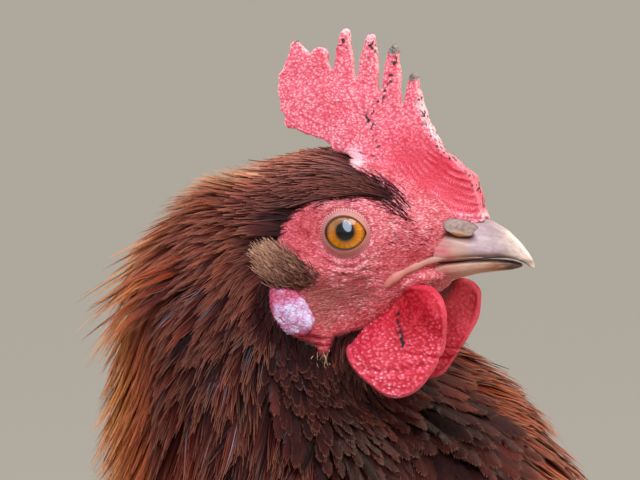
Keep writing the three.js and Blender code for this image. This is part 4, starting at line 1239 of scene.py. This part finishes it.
def tufts(shafts, ups, width, tone, edge, places, painted_sheen):
    """Loose feathers: each a sheaf of fine blades side by side that parts towards its tip."""
    count, rows = shafts.shape[:2]
    apart = np.linspace(-1, 1, BLADES) + draws.uniform(-0.2, 0.2, (count, BLADES))
    reach = (1 - 0.3 * np.abs(apart) ** 1.5) * draws.uniform(0.8, 1.04, (count, BLADES))
    s = np.linspace(0, 1, BLADE_ROWS)
    run = (reach[..., None] * s) * (rows - 1)
    low = np.minimum(run.astype(int), rows - 2)
    part = (run - low)[..., None]
    feather = np.arange(count)[:, None, None]

    def along(values):
        return values[feather, low] * (1 - part) + values[feather, low + 1] * part

    side = along(unit(np.cross(np.gradient(shafts, axis=1), ups)))
    up = unit(along(ups))
    half = np.reshape(width, (-1, 1, 1)) / 2
    offset = apart[..., None] * half * ease(-0.15, 0.5, s) * (1 - 0.35 * s ** 4)
    stray = draws.normal(0, 0.13, (2, count, BLADES, 1)) * half * s ** 2
    fall = stray[1] - CAMBER * np.abs(offset) + 0.04 * half * draws.standard_normal((count, BLADES, 1))
    blades = along(shafts) + side * (offset + stray[0])[..., None] + up * fall[..., None]

    def each(values):
        return np.repeat(np.broadcast_to(values, count), BLADES)

    shape = (count * BLADES, BLADE_ROWS, 3)
    turned = rolled(up.reshape(shape), blades.reshape(shape), 0.25)
    return strands(blades.reshape(shape), turned, each(width) / BLADES * 1.35,
                   each(tone) + draws.normal(0, 0.05, count * BLADES), each(edge),
                   np.repeat(places, BLADES, 0), each(painted_sheen) * (draws.random(count * BLADES) < 0.3))


def feathers(points, faces, out, barb, tone, edge, places, share, painted_sheen):
    """A batch of like feathers: their corners, the faces of one, its patch unwrapped and what it stores."""
    seed = np.broadcast_to(draws.random(len(out))[:, None] * 40, out.shape)
    lateral = np.clip(out / (2 * np.maximum(out.max(1, keepdims=True), 1e-9)), 0, 0.5)
    patch = places[:, None] + PATCH * np.stack([lateral, share - 0.5], 2)
    return {"points": points, "faces": faces, "patch": patch, "values": {
        "out": out / MM, "barb": barb / MM, "tone": np.clip(tone, 0.02, 1), "edge": edge, "seed": seed,
        "painted_sheen": painted_sheen}}


def coat_pieces(name, slot, batch, finish=None):
    """Lays a batch of feathers down as one or more pieces."""
    count, corners = batch["points"].shape[:2]
    parts = -(-count * len(batch["faces"]) // COAT_LIMIT)
    for number, some in enumerate(np.array_split(np.arange(count), parts), 1):
        label = f"coat_{name}_{number}" if parts > 1 else f"coat_{name}"
        faces = (batch["faces"][None] + corners * np.arange(len(some))[:, None, None]).reshape(-1, 3)
        mesh = mesh_of(label, batch["points"][some].reshape(-1, 3), faces)
        give(mesh, **{key: value[some].ravel() for key, value in batch["values"].items()})
        corner_map(mesh, "OFBake", batch["patch"][some].reshape(-1, 2)[faces.ravel()])
        piece(label, mesh, finish or finishes["feather"], slot)


def feather_finish(name, tones, pale, crown_tones=None):
    # Feather: keratin barbs lying side by side. They streak the colour and the light along them, every 0.4 mm
    # here, a little wider than life so they show; rims are pale, partly worn and partly a painted rim light.
    made, tree = material(name)
    place = node(tree, "CombineXYZ", {"X": "barb", "Y": "out", "Z": "seed"})
    lying = node(tree, "Mapping", {"Vector": place, "Scale": (2.4, 0.16, 1)})
    streak = node(tree, "TexNoise", {"Vector": lying, "Scale": 1, "Detail": 3, "Roughness": 0.6})
    cloud = node(tree, "Mapping", {"Vector": place, "Scale": (0.22, 0.1, 1.3)})
    patchy = node(tree, "TexNoise", {"Vector": cloud, "Scale": 1, "Detail": 1})
    varied = node(tree, "Math", {0: streak, 1: 0.42, 2: "tone"}, **SUM)
    blotched = node(tree, "Math", {0: patchy, 1: 0.24, 2: varied}, **SUM)
    level = node(tree, "Math", {0: blotched, 1: -0.33}, operation="ADD")
    colour = node(tree, "ValToRGB", {"Fac": level}, stops=tones)
    dull = node(tree, "ValToRGB", {"Fac": level}, stops=crown_tones or tones)
    # Towards the head the colour moves to the mauve scale: painted sky sheen.
    duller = node(tree, "Mix", {0: "mauve", 6: colour, 7: dull}, **BLEND)
    fringe = node(tree, "MapRange", {"Value": "edge", "From Min": 0.08, "From Max": 0.5, "To Max": 0.7})
    rimmed = node(tree, "Mix", {0: fringe, 6: duller, 7: pale}, **BLEND)
    # Some webs carry a painted bluish sheen in thin streaks: a painted highlight along their barbs.
    thin = node(tree, "MapRange", {"Value": streak, "From Min": 0.4, "From Max": 0.62})
    shine = node(tree, "Math", {0: thin, 1: "painted_sheen"}, operation="MULTIPLY")
    return shaded(made, {
        "Base Color": node(tree, "Mix", {0: shine, 6: rimmed, 7: "#b4a9bb"}, **BLEND),
        "Roughness": node(tree, "MapRange", {"Value": streak, "To Min": 0.36, "To Max": 0.66}),
        "Normal": node(tree, "Bump", {"Height": streak, "Strength": 0.7, "Distance": 0.22 * MM}),
        "IOR": 1.5, "Specular IOR Level": 0.07,
        "Sheen Weight": 0.03, "Sheen Roughness": 0.4, "Sheen Tint": "#d9a79a"})


finishes["feather"] = feather_finish("feather", COAT_TONES, "#b27860", CROWN_TONES)
finishes["bristle"] = feather_finish("tan_bristle", [
    (0, "#2c1616"), (0.3, "#5c3a34"), (0.55, "#94695a"), (0.75, "#c29b80"), (1, "#ecd8ba")], "#f3e2c8")
finishes["down"] = feather_finish("cheek_down", [
    (0, "#7e3636"), (0.3, "#a25652"), (0.6, "#c68478"), (1, "#ecc0ae")], "#ecccba")


# ---- Where feathers grow -----------------------------------------------------------------------------

def skin_faces():
    """Of every face of the skin: its middle, area, corners' numbers, first corner and place unwrapped."""
    count = len(skin.polygons)
    middle, area = np.zeros(count * 3), np.zeros(count)
    first, sides = np.zeros(count, np.int32), np.zeros(count, np.int32)
    for key, store in (("center", middle), ("area", area), ("loop_start", first), ("loop_total", sides)):
        skin.polygons.foreach_get(key, store)
    unwrapped = np.zeros(len(skin.loops) * 2)
    skin.uv_layers["OFBake"].data.foreach_get("uv", unwrapped)
    return middle.reshape(-1, 3), area, first, sides, unwrapped.reshape(-1, 2)


def owners(points):
    """The CAD node that each point lies on or nearest to."""
    faces, corners, names = [], [], []
    for name in SKIN_NODES:
        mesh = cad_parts[name].data
        faces += [[i + len(corners) for i in p.vertices] for p in mesh.polygons]
        corners += [v.co.copy() for v in mesh.vertices]
        names += [name.split("_")[0]] * len(mesh.polygons)
    whole = BVHTree.FromPolygons(corners, faces)
    return np.array([names[whole.find_nearest(p)[2]] for p in points.tolist()])


def winding_order(points, cell=0.0008):
    """An order in which near places come near each other, so that a count along it spreads evenly."""
    grid = ((points - points.min(0)) / cell).astype(np.int64)
    code = np.zeros(len(points), np.int64)
    for bit in range(10):
        for axis in range(3):
            code |= ((grid[:, axis] >> bit) & 1) << (3 * bit + axis)
    return np.argsort(code, kind="stable")


FACE_MIDDLE, FACE_AREA, FACE_FIRST, FACE_SIDES, UNWRAPPED = skin_faces()
FACE_OWNER = owners(FACE_MIDDLE)
FACE_LIE = coat_at(FACE_MIDDLE)
FACE_BARE = bare_at(FACE_MIDDLE)
SKIN_POINTS, SKIN_CORNERS, _ = arrays_of(skin)


def rooted(per_area):
    """Roots scattered over the skin, per_area of them on each square metre of each face: the places, and
    their places unwrapped."""
    number = FACE_AREA * per_area
    order = winding_order(FACE_MIDDLE)
    running = np.cumsum(number[order])
    marks = np.arange(draws.random(), running[-1], 1.0)
    marks = np.clip(marks + draws.uniform(-0.35, 0.35, len(marks)), 0, running[-1] * 0.999999)
    face = order[np.searchsorted(running, marks)]
    pick = (draws.random(len(face)) * FACE_SIDES[face]).astype(int)
    one, two = FACE_FIRST[face] + pick, FACE_FIRST[face] + (pick + 1) % FACE_SIDES[face]
    a, b = draws.random((2, len(face), 1))
    a, b = np.where(a + b > 1, 1 - a, a), np.where(a + b > 1, 1 - b, b)
    middle = FACE_MIDDLE[face]
    one, two = (SKIN_POINTS[SKIN_CORNERS[corner]] - middle for corner in (one, two))
    return middle + a * one + b * two, UNWRAPPED[FACE_FIRST[face]]


def laid(roots, length, depth, rows, turn=0.0, lift=0.0, way=None, rise=1.0):
    """Shafts that follow the lie of the coat, or a way of their own, over the skin, rising to their tips.
    Those with a lift leave the skin at that slope and run on straight."""
    length, depth, turn, lift = (np.broadcast_to(v, len(roots)) for v in (length, depth, turn, lift))
    cling = np.where(lift > 0, 0.0, 1.0)
    point, out = skin_near(roots)
    row, outs = [point + out * (depth * 0.05)[:, None]], [out]
    swing = np.stack([np.cos(turn), np.sin(turn)], 1)
    for k in range(1, rows):
        s = k / (rows - 1)
        lie = coat_at(row[-1])["way"] if way is None else way
        flat = unit(lie - out * (lie * out).sum(1, keepdims=True))
        flat = flat * swing[:, :1] + np.cross(out, flat) * swing[:, 1:]
        ahead = row[-1] + flat * (length / (rows - 1))[:, None]
        under, out = skin_near(ahead)
        out = unit(out + outs[-1])
        high = under + out * (depth * (0.08 + 0.92 * s ** rise))[:, None]
        onward = unit(row[-1] - row[-2]) if k > 1 else unit(flat + out * lift[:, None])
        free = row[-1] + unit(onward - vec(0, 0, 0.025)) * (length / (rows - 1))[:, None]
        row.append(free + (high - free) * cling[:, None])
        outs.append(out)
    return np.stack(row, 1), np.stack(outs, 1)


def rolled(ups, shafts, spread):
    """The webs' up directions, each feather turned a little about its shaft."""
    roll = draws.normal(0, spread, len(ups))[:, None, None]
    ahead = unit(np.gradient(shafts, axis=1))
    return unit(ups * np.cos(roll) + np.cross(ahead, ups) * np.sin(roll))


HAIR_WIDTH = 1.0 * MM  # feathers narrower than this are hair-like
COVERAGE = {"hair": 9.0, "hackle": 9.0, "contour": 7.0}  # layers of feather over each place
ROWS = {"hair": 4, "hackle": 9, "contour": 20}
RISE = {"hair": 0.9, "hackle": 1.25, "contour": 0.85}  # above 1 the tips stand off, below it they lie down
FEWEST = 5  # feathers that are worth a piece
COVERT_OUTLINE = [(124, 226), (111, 240), (80, 249), (35, 246), (-7, 238), (-33, 222), (-17, 206), (15, 190),
                  (55, 184), (91, 184), (118, 200)]  # of a wing's small feathers, seen from the side
WING_OUTLINE = [(129, 226), (115, 244), (81, 253), (35, 250), (-15, 244), (-60, 238), (-111, 222), (-85, 211),
                (-45, 194), (-5, 175), (37, 162), (77, 165), (109, 184), (126, 206)]


def coat_of(region, slot, owned, loose=0.5):
    """Grows the coat over the faces that belong to some CAD nodes."""
    wide, rounded = FACE_LIE["width"] >= HAIR_WIDTH, FACE_LIE["round"] >= 0.5
    for kind, fits in (("hair", ~wide), ("hackle", wide & ~rounded), ("contour", wide & rounded)):
        here = owned & fits & (FACE_BARE < 0.5)
        if not here.any():
            continue
        roots, places = rooted(here * COVERAGE[kind] / (FACE_LIE["length"] * FACE_LIE["width"]))
        if len(roots) >= FEWEST:
            coat_pieces(f"{region}_{kind}", slot, grown(region, kind, roots, places, loose))


def grown(region, kind, roots, places, loose):
    """A batch of feathers of one kind on their roots."""
    at = coat_at(roots)
    count = len(roots)
    clump = grain(roots, 9 * MM, "clouds")
    turn = draws.normal(0, 0.085, count) + 0.22 * clump
    length = at["length"] * draws.uniform(0.82, 1.15, count)
    x, _, z = (roots / MM).T
    low_nape = ease(306, 288, z) * ease(75, 50, x) * ease(262, 275, z)
    ahead, _, high = to_head(roots).T
    on_crown = (region == "head") * ease(9, 14, high)
    on_nape = bump(np.hypot(ahead + 30, high - 3), 0, 11) * (region != "body")
    fuller = 1 + 0.4 * on_crown + 0.2 * on_nape
    uneven = 0.13 if kind == "hackle" else 0.09
    depth = at["depth"] * draws.uniform(1.06 - uneven, 1.06 + uneven, count) * (1 - 0.8 * low_nape) * fuller
    lift = lift_at(roots, count) * (kind == "hackle")
    shafts, ups = laid(roots, length * (1 + 0.15 * (lift > 0)), depth, ROWS[kind], turn, lift,
                       rise=RISE[kind])
    tone = at["tone"] + 0.04 + draws.normal(0, 0.06, count) + 0.09 * clump + 0.08 * (lift > 0)
    width = at["width"] * draws.uniform(0.85, 1.15, count)
    # About a fifth of the dark feathers, and the crown's hair, carry painted sheen: bluish painted highlights
    # in streaks.
    painted_sheen = 0.5 * (draws.random(count) < 0.2) * ease(0.34, 0.24, at["tone"] - 0.4 * (kind == "hair"))
    if kind == "hair":
        painted_sheen = np.maximum(0.15 * painted_sheen, 0.24 * on_crown)
        batch = strands(shafts, rolled(ups, shafts, 0.4), width, tone, at["edge"], places, painted_sheen)
    elif kind == "hackle":
        batch = tufts(shafts, ups, width, tone, at["edge"], places, painted_sheen)
    else:
        batch = vanes(shafts, rolled(ups, shafts, 0.15), width, at["round"], tone, at["edge"],
                      loose * (1.25 - at["round"]), places, 0.12 * painted_sheen)
    # The feathers turn duller and mauve towards the head: the mauve is painted sky sheen.
    mauve = ease(48, 20, np.linalg.norm(to_head(roots), axis=1))
    shape = batch["points"].shape[:2]
    batch["values"]["mauve"] = np.repeat(mauve, shape[0] * shape[1] // count).reshape(shape)
    return batch


def lift_at(points, count):
    """The slope at which strays leave the skin of the nape, and 0 for all that lie down."""
    x, _, z = (points / MM).T
    off_nape = ease(66, 52, x) * ease(315, 321, z) * ease(346, 334, z)
    return np.where(draws.random(count) < 0.6 * off_nape, draws.uniform(0.3, 0.7, count), 0.0)


TAIL_SLOPE = math.radians(42)
TAIL_ROOT = vec(-67.4, 0, 216)
tail_way = vec(-math.cos(TAIL_SLOPE), 0, math.sin(TAIL_SLOPE))
along_tail = (FACE_MIDDLE / MM - TAIL_ROOT) @ tail_way
above_tail = (FACE_MIDDLE / MM - TAIL_ROOT) @ vec(tail_way[2], 0, -tail_way[0])
# The tail's small feathers run out to 106 mm along its top, and to 84 mm below.
on_tail = (FACE_OWNER == "tail") & (along_tail < np.where(above_tail > 14, 106, 84))
# The body's coat stops inside the wing's outline, 9 mm in low down and 2 mm in high up.
face_x, face_y, face_z = (FACE_MIDDLE / MM).T
in_wing = (np.abs(face_y) > 38) & (FACE_OWNER != "neck") \
    & (inside_outline(WING_OUTLINE, face_x, face_z) > np.interp(face_z, (190, 215), (9, 2)))
in_coverts = in_wing & (inside_outline(COVERT_OUTLINE, face_x, face_z) > 0)
coat_of("head", "head_feathers", np.isin(FACE_OWNER, ["head", "ear"]))
coat_of("neck", "neck_feathers", FACE_OWNER == "neck", 0.8)
coat_of("body", "body_feathers", ~in_wing & np.isin(FACE_OWNER, ["trunk", "thigh", "wing"]), 0.75)
coat_of("wings", "wing_feathers", in_coverts, 0.25)
coat_of("rump", "tail_feathers", on_tail, 0.35)


# ---- Bristles and down of the face -------------------------------------------------------------------

def scattered_in(outline, spacing, fade=0.0):
    """Jittered places inside an outline in the head's side view, about that far apart, thinning out over
    its last few millimetres, which may depend on the place."""
    spots = np.array(outline, float)
    low, high = spots.min(0), spots.max(0)
    x, z = np.meshgrid(np.arange(low[0], high[0], spacing), np.arange(low[1], high[1], spacing))
    x, z = (v.ravel() + draws.uniform(-0.5, 0.5, v.size) * spacing for v in (x, z))
    reach = fade(x, z) if callable(fade) else fade
    inside = inside_outline(outline, x, z) > reach * draws.random(len(x)) ** 0.7
    return x[inside], z[inside]


def bristles(name, finish, outline, spacing, way, length, lift, width, tones, swing=0.15, fade=0.0):
    """Grows fine bristles on both sides of the face. way, length, lift and tones may depend on the place."""
    for side_name, side in SIDES:
        x, z = scattered_in(outline, spacing, fade)
        count = len(x)
        ways, lengths, lifts, tone = (value(x, z) if callable(value) else value
                                      for value in (way, length, lift, tones))
        ways = np.broadcast_to(np.stack(np.broadcast_arrays(*ways), -1), (count, 3)) * (1, side, 1)
        roots = from_head(np.stack([x, [side * beside_head(a, b, side) for a, b in zip(x, z)], z], 1))
        faces = [skin_tree.find_nearest(p)[2] for p in roots.tolist()]
        shafts, ups = laid(roots, lengths * MM * draws.uniform(0.75, 1.2, count),
                           lifts * MM * draws.uniform(0.6, 1.2, count), 6, draws.normal(0, swing, count),
                           way=ways @ HEAD_AXES.T)
        batch = strands(shafts, rolled(ups, shafts, 0.5), width * MM * draws.uniform(0.8, 1.25, count),
                        tone + draws.normal(0, 0.08, count), np.zeros(count), UNWRAPPED[FACE_FIRST[faces]])
        coat_pieces(f"{name}_{side_name}", "head_feathers", batch, finishes[finish])


EAR_PATCH = [(-18.2, -5.4), (-14.8, -3), (-11, -4), (-7, -6), (-4, -9.6), (-6.6, -13.2), (-12.4, -13.2),
             (-16.8, -10.2)]
CHEEK = [(-13, -10), (-8, -6.4), (-1, -6.2), (6, -7.4), (10.5, -10.6), (8, -15.5), (2, -19.5), (-5, -22.5),
         (-8, -18)]
LORE = [(9, 6), (14, 2.5), (19, 1), (19, -3), (13, -5), (8.5, -3)]
BROW_FRONT = [(2, 12.5), (8, 12.2), (12.5, 8.4), (15, 4), (14.5, 0), (10.5, 2), (7, 5.5), (2, 10)]
BROW_EDGE = [(-16.5, -3), (-14.5, 2), (-12, 5), (-8.8, 7), (-5.2, 8.4), (-0.6, 9.2), (5, 9), (9.5, 7.4),
             (9.5, 5.4), (5, 6.2), (-0.6, 6.5), (-5.2, 5.7), (-8.8, 4.2), (-11, 1.8), (-12.8, -3)]
OVER_BILL = [(11, 12), (17, 6.5), (22, 5), (19, 10), (14, 14)]
JAW = [(5, -18.5), (9, -15), (13, -12.8), (12, -14.5), (8, -17.5)]
LOBE_EDGE = [(-17.8, -9), (-14.8, -10), (-14.5, -16.5), (-12.4, -20.3), (-9.2, -23), (-6.4, -24.6),
             (-6.2, -27.2), (-8, -29), (-11, -27), (-15.5, -23.5), (-18, -17)]
UNDER_LOBE = [(-8.5, -24.6), (-3.6, -25), (-3, -28.2), (-8, -28.2)]

# The ear's cover: a brush of bristles, brown at the root and pale where it stands off at its tips.
bristles("ear_cover", "bristle", EAR_PATCH, 0.25, (-0.72, 0.12, 0.62), 3.4, 1.5, 0.2,
         lambda x, z: 0.46 - 0.02 * (x + 11) + 0.02 * (z + 8), swing=0.16,
         fade=lambda x, z: 0.8 + 3.4 * ease(-12, -5, x))
# Thin filaments combed back over the cheek from the corner of the mouth.
bristles("cheek_down", "down", CHEEK, 0.4, lambda x, z: (-1, 0.1, -0.3 + 0.035 * (x + 6)), 3, 0.2, 0.12,
         lambda x, z: 0.3 - 0.015 * x - 0.02 * (z + 14), swing=0.25, fade=6.5)
bristles("lore_down", "feather", LORE, 1.05, (-0.85, 0.1, 0.3), 1.9, 0.15, 0.08, 0.12, swing=0.3, fade=1.5)
# Dark bristles where the brow's feathers thin out towards the comb and bill, and round the back of the lobe.
bristles("brow_bristles", "feather", BROW_FRONT, 0.72, (-0.76, 0.1, 0.62), 7, 0.35, 0.12, 0.14,
         swing=0.22, fade=1.3)
bristles("brow_edge", "feather", BROW_EDGE, 0.4, lambda x, z: (-0.95, 0.1, -0.1 + 0.02 * (x + 6)), 3, 0.3,
         0.12, 0.14, swing=0.25, fade=1.8)
bristles("lore_bristles", "feather", OVER_BILL, 1.5, (-0.35, 0.2, 0.85), 2.4, 0.4, 0.12, 0.05, swing=0.35)
bristles("lobe_edge", "feather", LOBE_EDGE, 0.42, lambda x, z: (-0.3 - 0.02 * (z + 18), 0.25, -0.9), 4.2,
         1.5, 0.3, 0.08, swing=0.2)
# Pale bristles under the jaw and down under the lobe.
bristles("jaw_down", "bristle", JAW, 1.0, (-0.1, 0.5, -0.8), 3, 1.0, 0.12, 0.7, swing=0.4)
bristles("lobe_down", "bristle", UNDER_LOBE, 0.42, (-0.15, 0.2, -1), 2.6, 1.2, 0.14, 0.7, swing=0.6, fade=1.0)


# ---- Flight and tail feathers ------------------------------------------------------------------------

QUILL_ROWS = 44


def quills(name, slot, paths, widths, tones, side, edge=0.6):
    """Long stiff feathers along their own paths, the first lowest, each the width given."""
    shafts = np.stack([smooth_path(path, QUILL_ROWS) for path in paths]) * MM
    outward = np.broadcast_to(vec(0, side, 0.12), shafts.shape)
    near = [skin_tree.find_nearest(p)[2] for p in shafts[:, 0].tolist()]
    batch = vanes(shafts, outward, np.array(widths) * MM, 0.72, np.array(tones), edge, 0.12,
                  UNWRAPPED[FACE_FIRST[near]])
    coat_pieces(name, slot, batch)


def wing_surface(x, z, side):
    """How far out the skin of the wing lies at a place seen from the side, in millimetres."""
    hit = skin_tree.ray_cast(Vector((x * MM, side * 0.2, z * MM)), Vector((0, -side, 0)))[0]
    return abs(hit.y) / MM if hit else 0.0


WING_TIPS = [(-8, 185), (-36, 194), (-62, 203), (-84, 210), (-99, 216), (-106, 221), (-102, 226), (-90, 229),
             (-74, 232), (-58, 235)]  # of the flight feathers, from the lowest to the uppermost


def flight_feathers(name, side):
    paths, widths = [], []
    for i, tip in enumerate(WING_TIPS):
        share = i / (len(WING_TIPS) - 1)
        root = vec(88 - 60 * share, 181 + 50 * share)
        path = []
        for t in np.linspace(0, 1, 7):
            x, z = root + (vec(*tip) - root) * t + vec(0, -5 * math.sin(math.pi * t) * (1 - share))
            out = max(wing_surface(x, z, side), wing_surface(x + 12, z + 3, side))
            path.append((x, side * (out - 1.6 + 2.4 * ease(0.12, 0.45, t) + (0.6 + 1.6 * share) * t), z))
        paths.append(path)
        widths.append(19 - 3 * abs(share - 0.4))
    quills(f"flight_{name}", "wing_feathers", paths, widths, 0.5 + draws.normal(0, 0.04, len(paths)), side)


# Of one half of the tail, from the lowest: along the tail, up across it, and out to the side.
TAIL_TIPS = [(80, -38, 9), (95, -33, 8), (108, -25, 7.5), (119, -14, 7), (128, -1, 6), (135, 12, 5),
             (139, 25, 3.6)]


def tail_feathers(name, side):
    across = np.cross(vec(0, 1, 0), tail_way)
    across = across if across[2] > 0 else -across
    paths = []
    for i, (reach, high, out) in enumerate(TAIL_TIPS):
        share = i / (len(TAIL_TIPS) - 1)
        start_high = -14 + 34 * share
        path = []
        for t in np.linspace(0, 1, 6):
            along = 6 + (reach - 6) * t
            up = start_high + (high - start_high) * t ** 0.85
            side_out = (17 + 5 * share) * (1 - t) ** 0.9 + (out + 0.9 * share) * t
            spot = TAIL_ROOT + tail_way * along + across * up
            clear = wing_surface(spot[0], spot[2], side) + 0.8 + 2 * t
            path.append(spot + vec(0, side * max(side_out, clear * (t > 0.3)), 0))
        paths.append(path)
    quills(f"tail_{name}", "tail_feathers", paths, np.linspace(25, 29, len(paths)),
           0.3 + draws.normal(0, 0.03, len(paths)), side, 0.25)


for wing_name, wing_side in SIDES:
    flight_feathers(wing_name, wing_side)
    tail_feathers(wing_name, wing_side)


# ---- Legs --------------------------------------------------------------------------------------------

def scale_finish():
    # Leg scales: dry waxy horn, straw yellow, browner and dirty in the joints between the plates.
    made, tree = material("leg_scales")
    dirt = node(tree, "TexNoise", {
        "Vector": node(tree, "TexCoord", out="Object"), "Scale": 240, "Detail": 4})
    mixed = node(tree, "Math", {0: dirt, 1: 0.5, 2: "joint"}, **SUM)
    return shaded(made, {
        "Base Color": node(tree, "ValToRGB", {"Fac": mixed}, stops=[
            (0.15, "#dcc07a"), (0.4, "#cfae62"), (0.7, "#a98447"), (1.0, "#6e5030")]),
        "Roughness": node(tree, "MapRange", {"Value": dirt, "To Min": 0.38, "To Max": 0.62}),
        "Normal": node(tree, "Bump", {"Height": dirt, "Strength": 0.3, "Distance": 0.2 * MM}),
        **sunk_light(1.5, 0.08, (1, 0.6, 0.25), 1.5)})


finishes["scales"] = scale_finish()
finishes["claw"] = horn_finish("claw_horn", [
    (0.0, "#b08a63"), (0.4, "#a48d78"), (0.8, "#cdbfa8"), (1.0, "#8a7360")], 0.36)
TOES = ("inner", "middle", "outer", "hind")
LEG_VOXEL, CLAW_VOXEL = 0.75 * MM, 0.36 * MM
# Heights of the shank's front plates, of the scales behind them and of the toes' plates, in millimetres.
PLATE, SMALL_SCALE, TOE_PLATE = 3.6, 2.1, 2.7
HOCK_MIDDLE, SOLE_MIDDLE = (0.57, 37, 92), (29.6, 37, 9)  # the shank's ends, in the hen's frame


def plates(run, size):
    """A row of overlapping plates along a run: how high each place stands, 0 to 1, falling at the joints."""
    place = (run / size) % 1.0
    return ease(0, 0.14, place) * (0.55 + 0.45 * (1 - place))


def leg(name, side):
    nodes = [f"shank_{name}"] + [f"toe_{toe}_{name}" for toe in TOES]
    hock, sole = (vec(x, y * side, z) * MM for x, y, z in (HOCK_MIDDLE, SOLE_MIDDLE))
    down = unit(sole - hock)
    mesh = remeshed(nodes, LEG_VOXEL, [(to_head(hock + vec(1.5, 0, -1) * MM), 6.6)])
    points, _, edges = arrays_of(mesh)
    points = relaxed(points, edges, 4)
    sole_height = points[:, 2].min()
    move(mesh, points)
    reworked(mesh, lambda work: bmesh.ops.subdivide_edges(
        work, edges=work.edges[:], cuts=1, use_grid_fill=True))
    points, _, edges = arrays_of(mesh)
    move(mesh, relaxed(points, edges, 2))
    points = arrays_of(mesh)[0]
    run = (points - hock) @ down / MM
    # The shank's top is rounded off where it enters the feathers.
    axis = hock + down * (run * MM)[:, None]
    cap = np.where(run < 2, np.sqrt(np.clip(1 - ((2 - run) / 8.5) ** 2, 0, 1)), 1.0)
    move(mesh, axis + (points - axis) * cap[:, None])

    points, ways = surface_of(mesh)
    shank_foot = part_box(f"shank_{name}")[0][2] / MM
    long = np.linalg.norm(sole - hock) / MM
    forward = unit(np.cross(vec(0, 1, 0), down))
    facing_front = ways @ forward * (-1 if forward[0] < 0 else 1)
    on_shank = ease(long - 4, long - 9, run) * ease(shank_foot, shank_foot + 20, points[:, 2] / MM + 6)
    half_step = PLATE / 2 * (points[:, 1] * side > HOCK_MIDDLE[1] * MM)
    front = plates(run + half_step, PLATE) * ease(0.1, 0.35, facing_front)
    small = np.minimum(grain(points, SMALL_SCALE * MM), 0.5) * 2
    behind = small * ease(0.2, -0.05, facing_front)

    # On the toes the plates cross the top, one after another from the pad out.
    from_pad = np.hypot(points[:, 0] - sole[0], points[:, 1] - sole[1]) / MM
    top = ease(0.1, 0.45, ways[:, 2])
    on_toes = plates(-from_pad, TOE_PLATE) * top + small * (1 - top) * 0.8
    height = on_shank * (front + behind) + (1 - on_shank) * on_toes
    keep = ease(0, 2.5, (points[:, 2] - sole_height) / MM)  # the soles stay flat
    raise_by(mesh, points, ways, (0.55 * height - 0.3) * keep)
    mesh.shade_smooth()
    give(mesh, joint=0.75 * (1 - np.clip(height, 0, 1)))
    piece(f"leg_{name}", mesh, finishes["scales"], "leg_scales", *nodes)


def claws(name, side):
    nodes = [f"claw_{toe}_{name}" for toe in TOES]
    mesh = remeshed(nodes, CLAW_VOXEL)
    points, _, edges = arrays_of(mesh)
    points = relaxed(points, edges, 4)
    move(mesh, points)
    sole = vec(SOLE_MIDDLE[0], SOLE_MIDDLE[1] * side, 0) * MM
    from_pad = np.hypot(points[:, 0] - sole[0], points[:, 1] - sole[1]) / MM
    give(mesh, along=np.clip((from_pad % 50) / 60, 0, 1))
    piece(f"claws_{name}", mesh, finishes["claw"], "claw_horn", *nodes)


for leg_name, leg_side in SIDES:
    leg(leg_name, leg_side)
    claws(leg_name, leg_side)
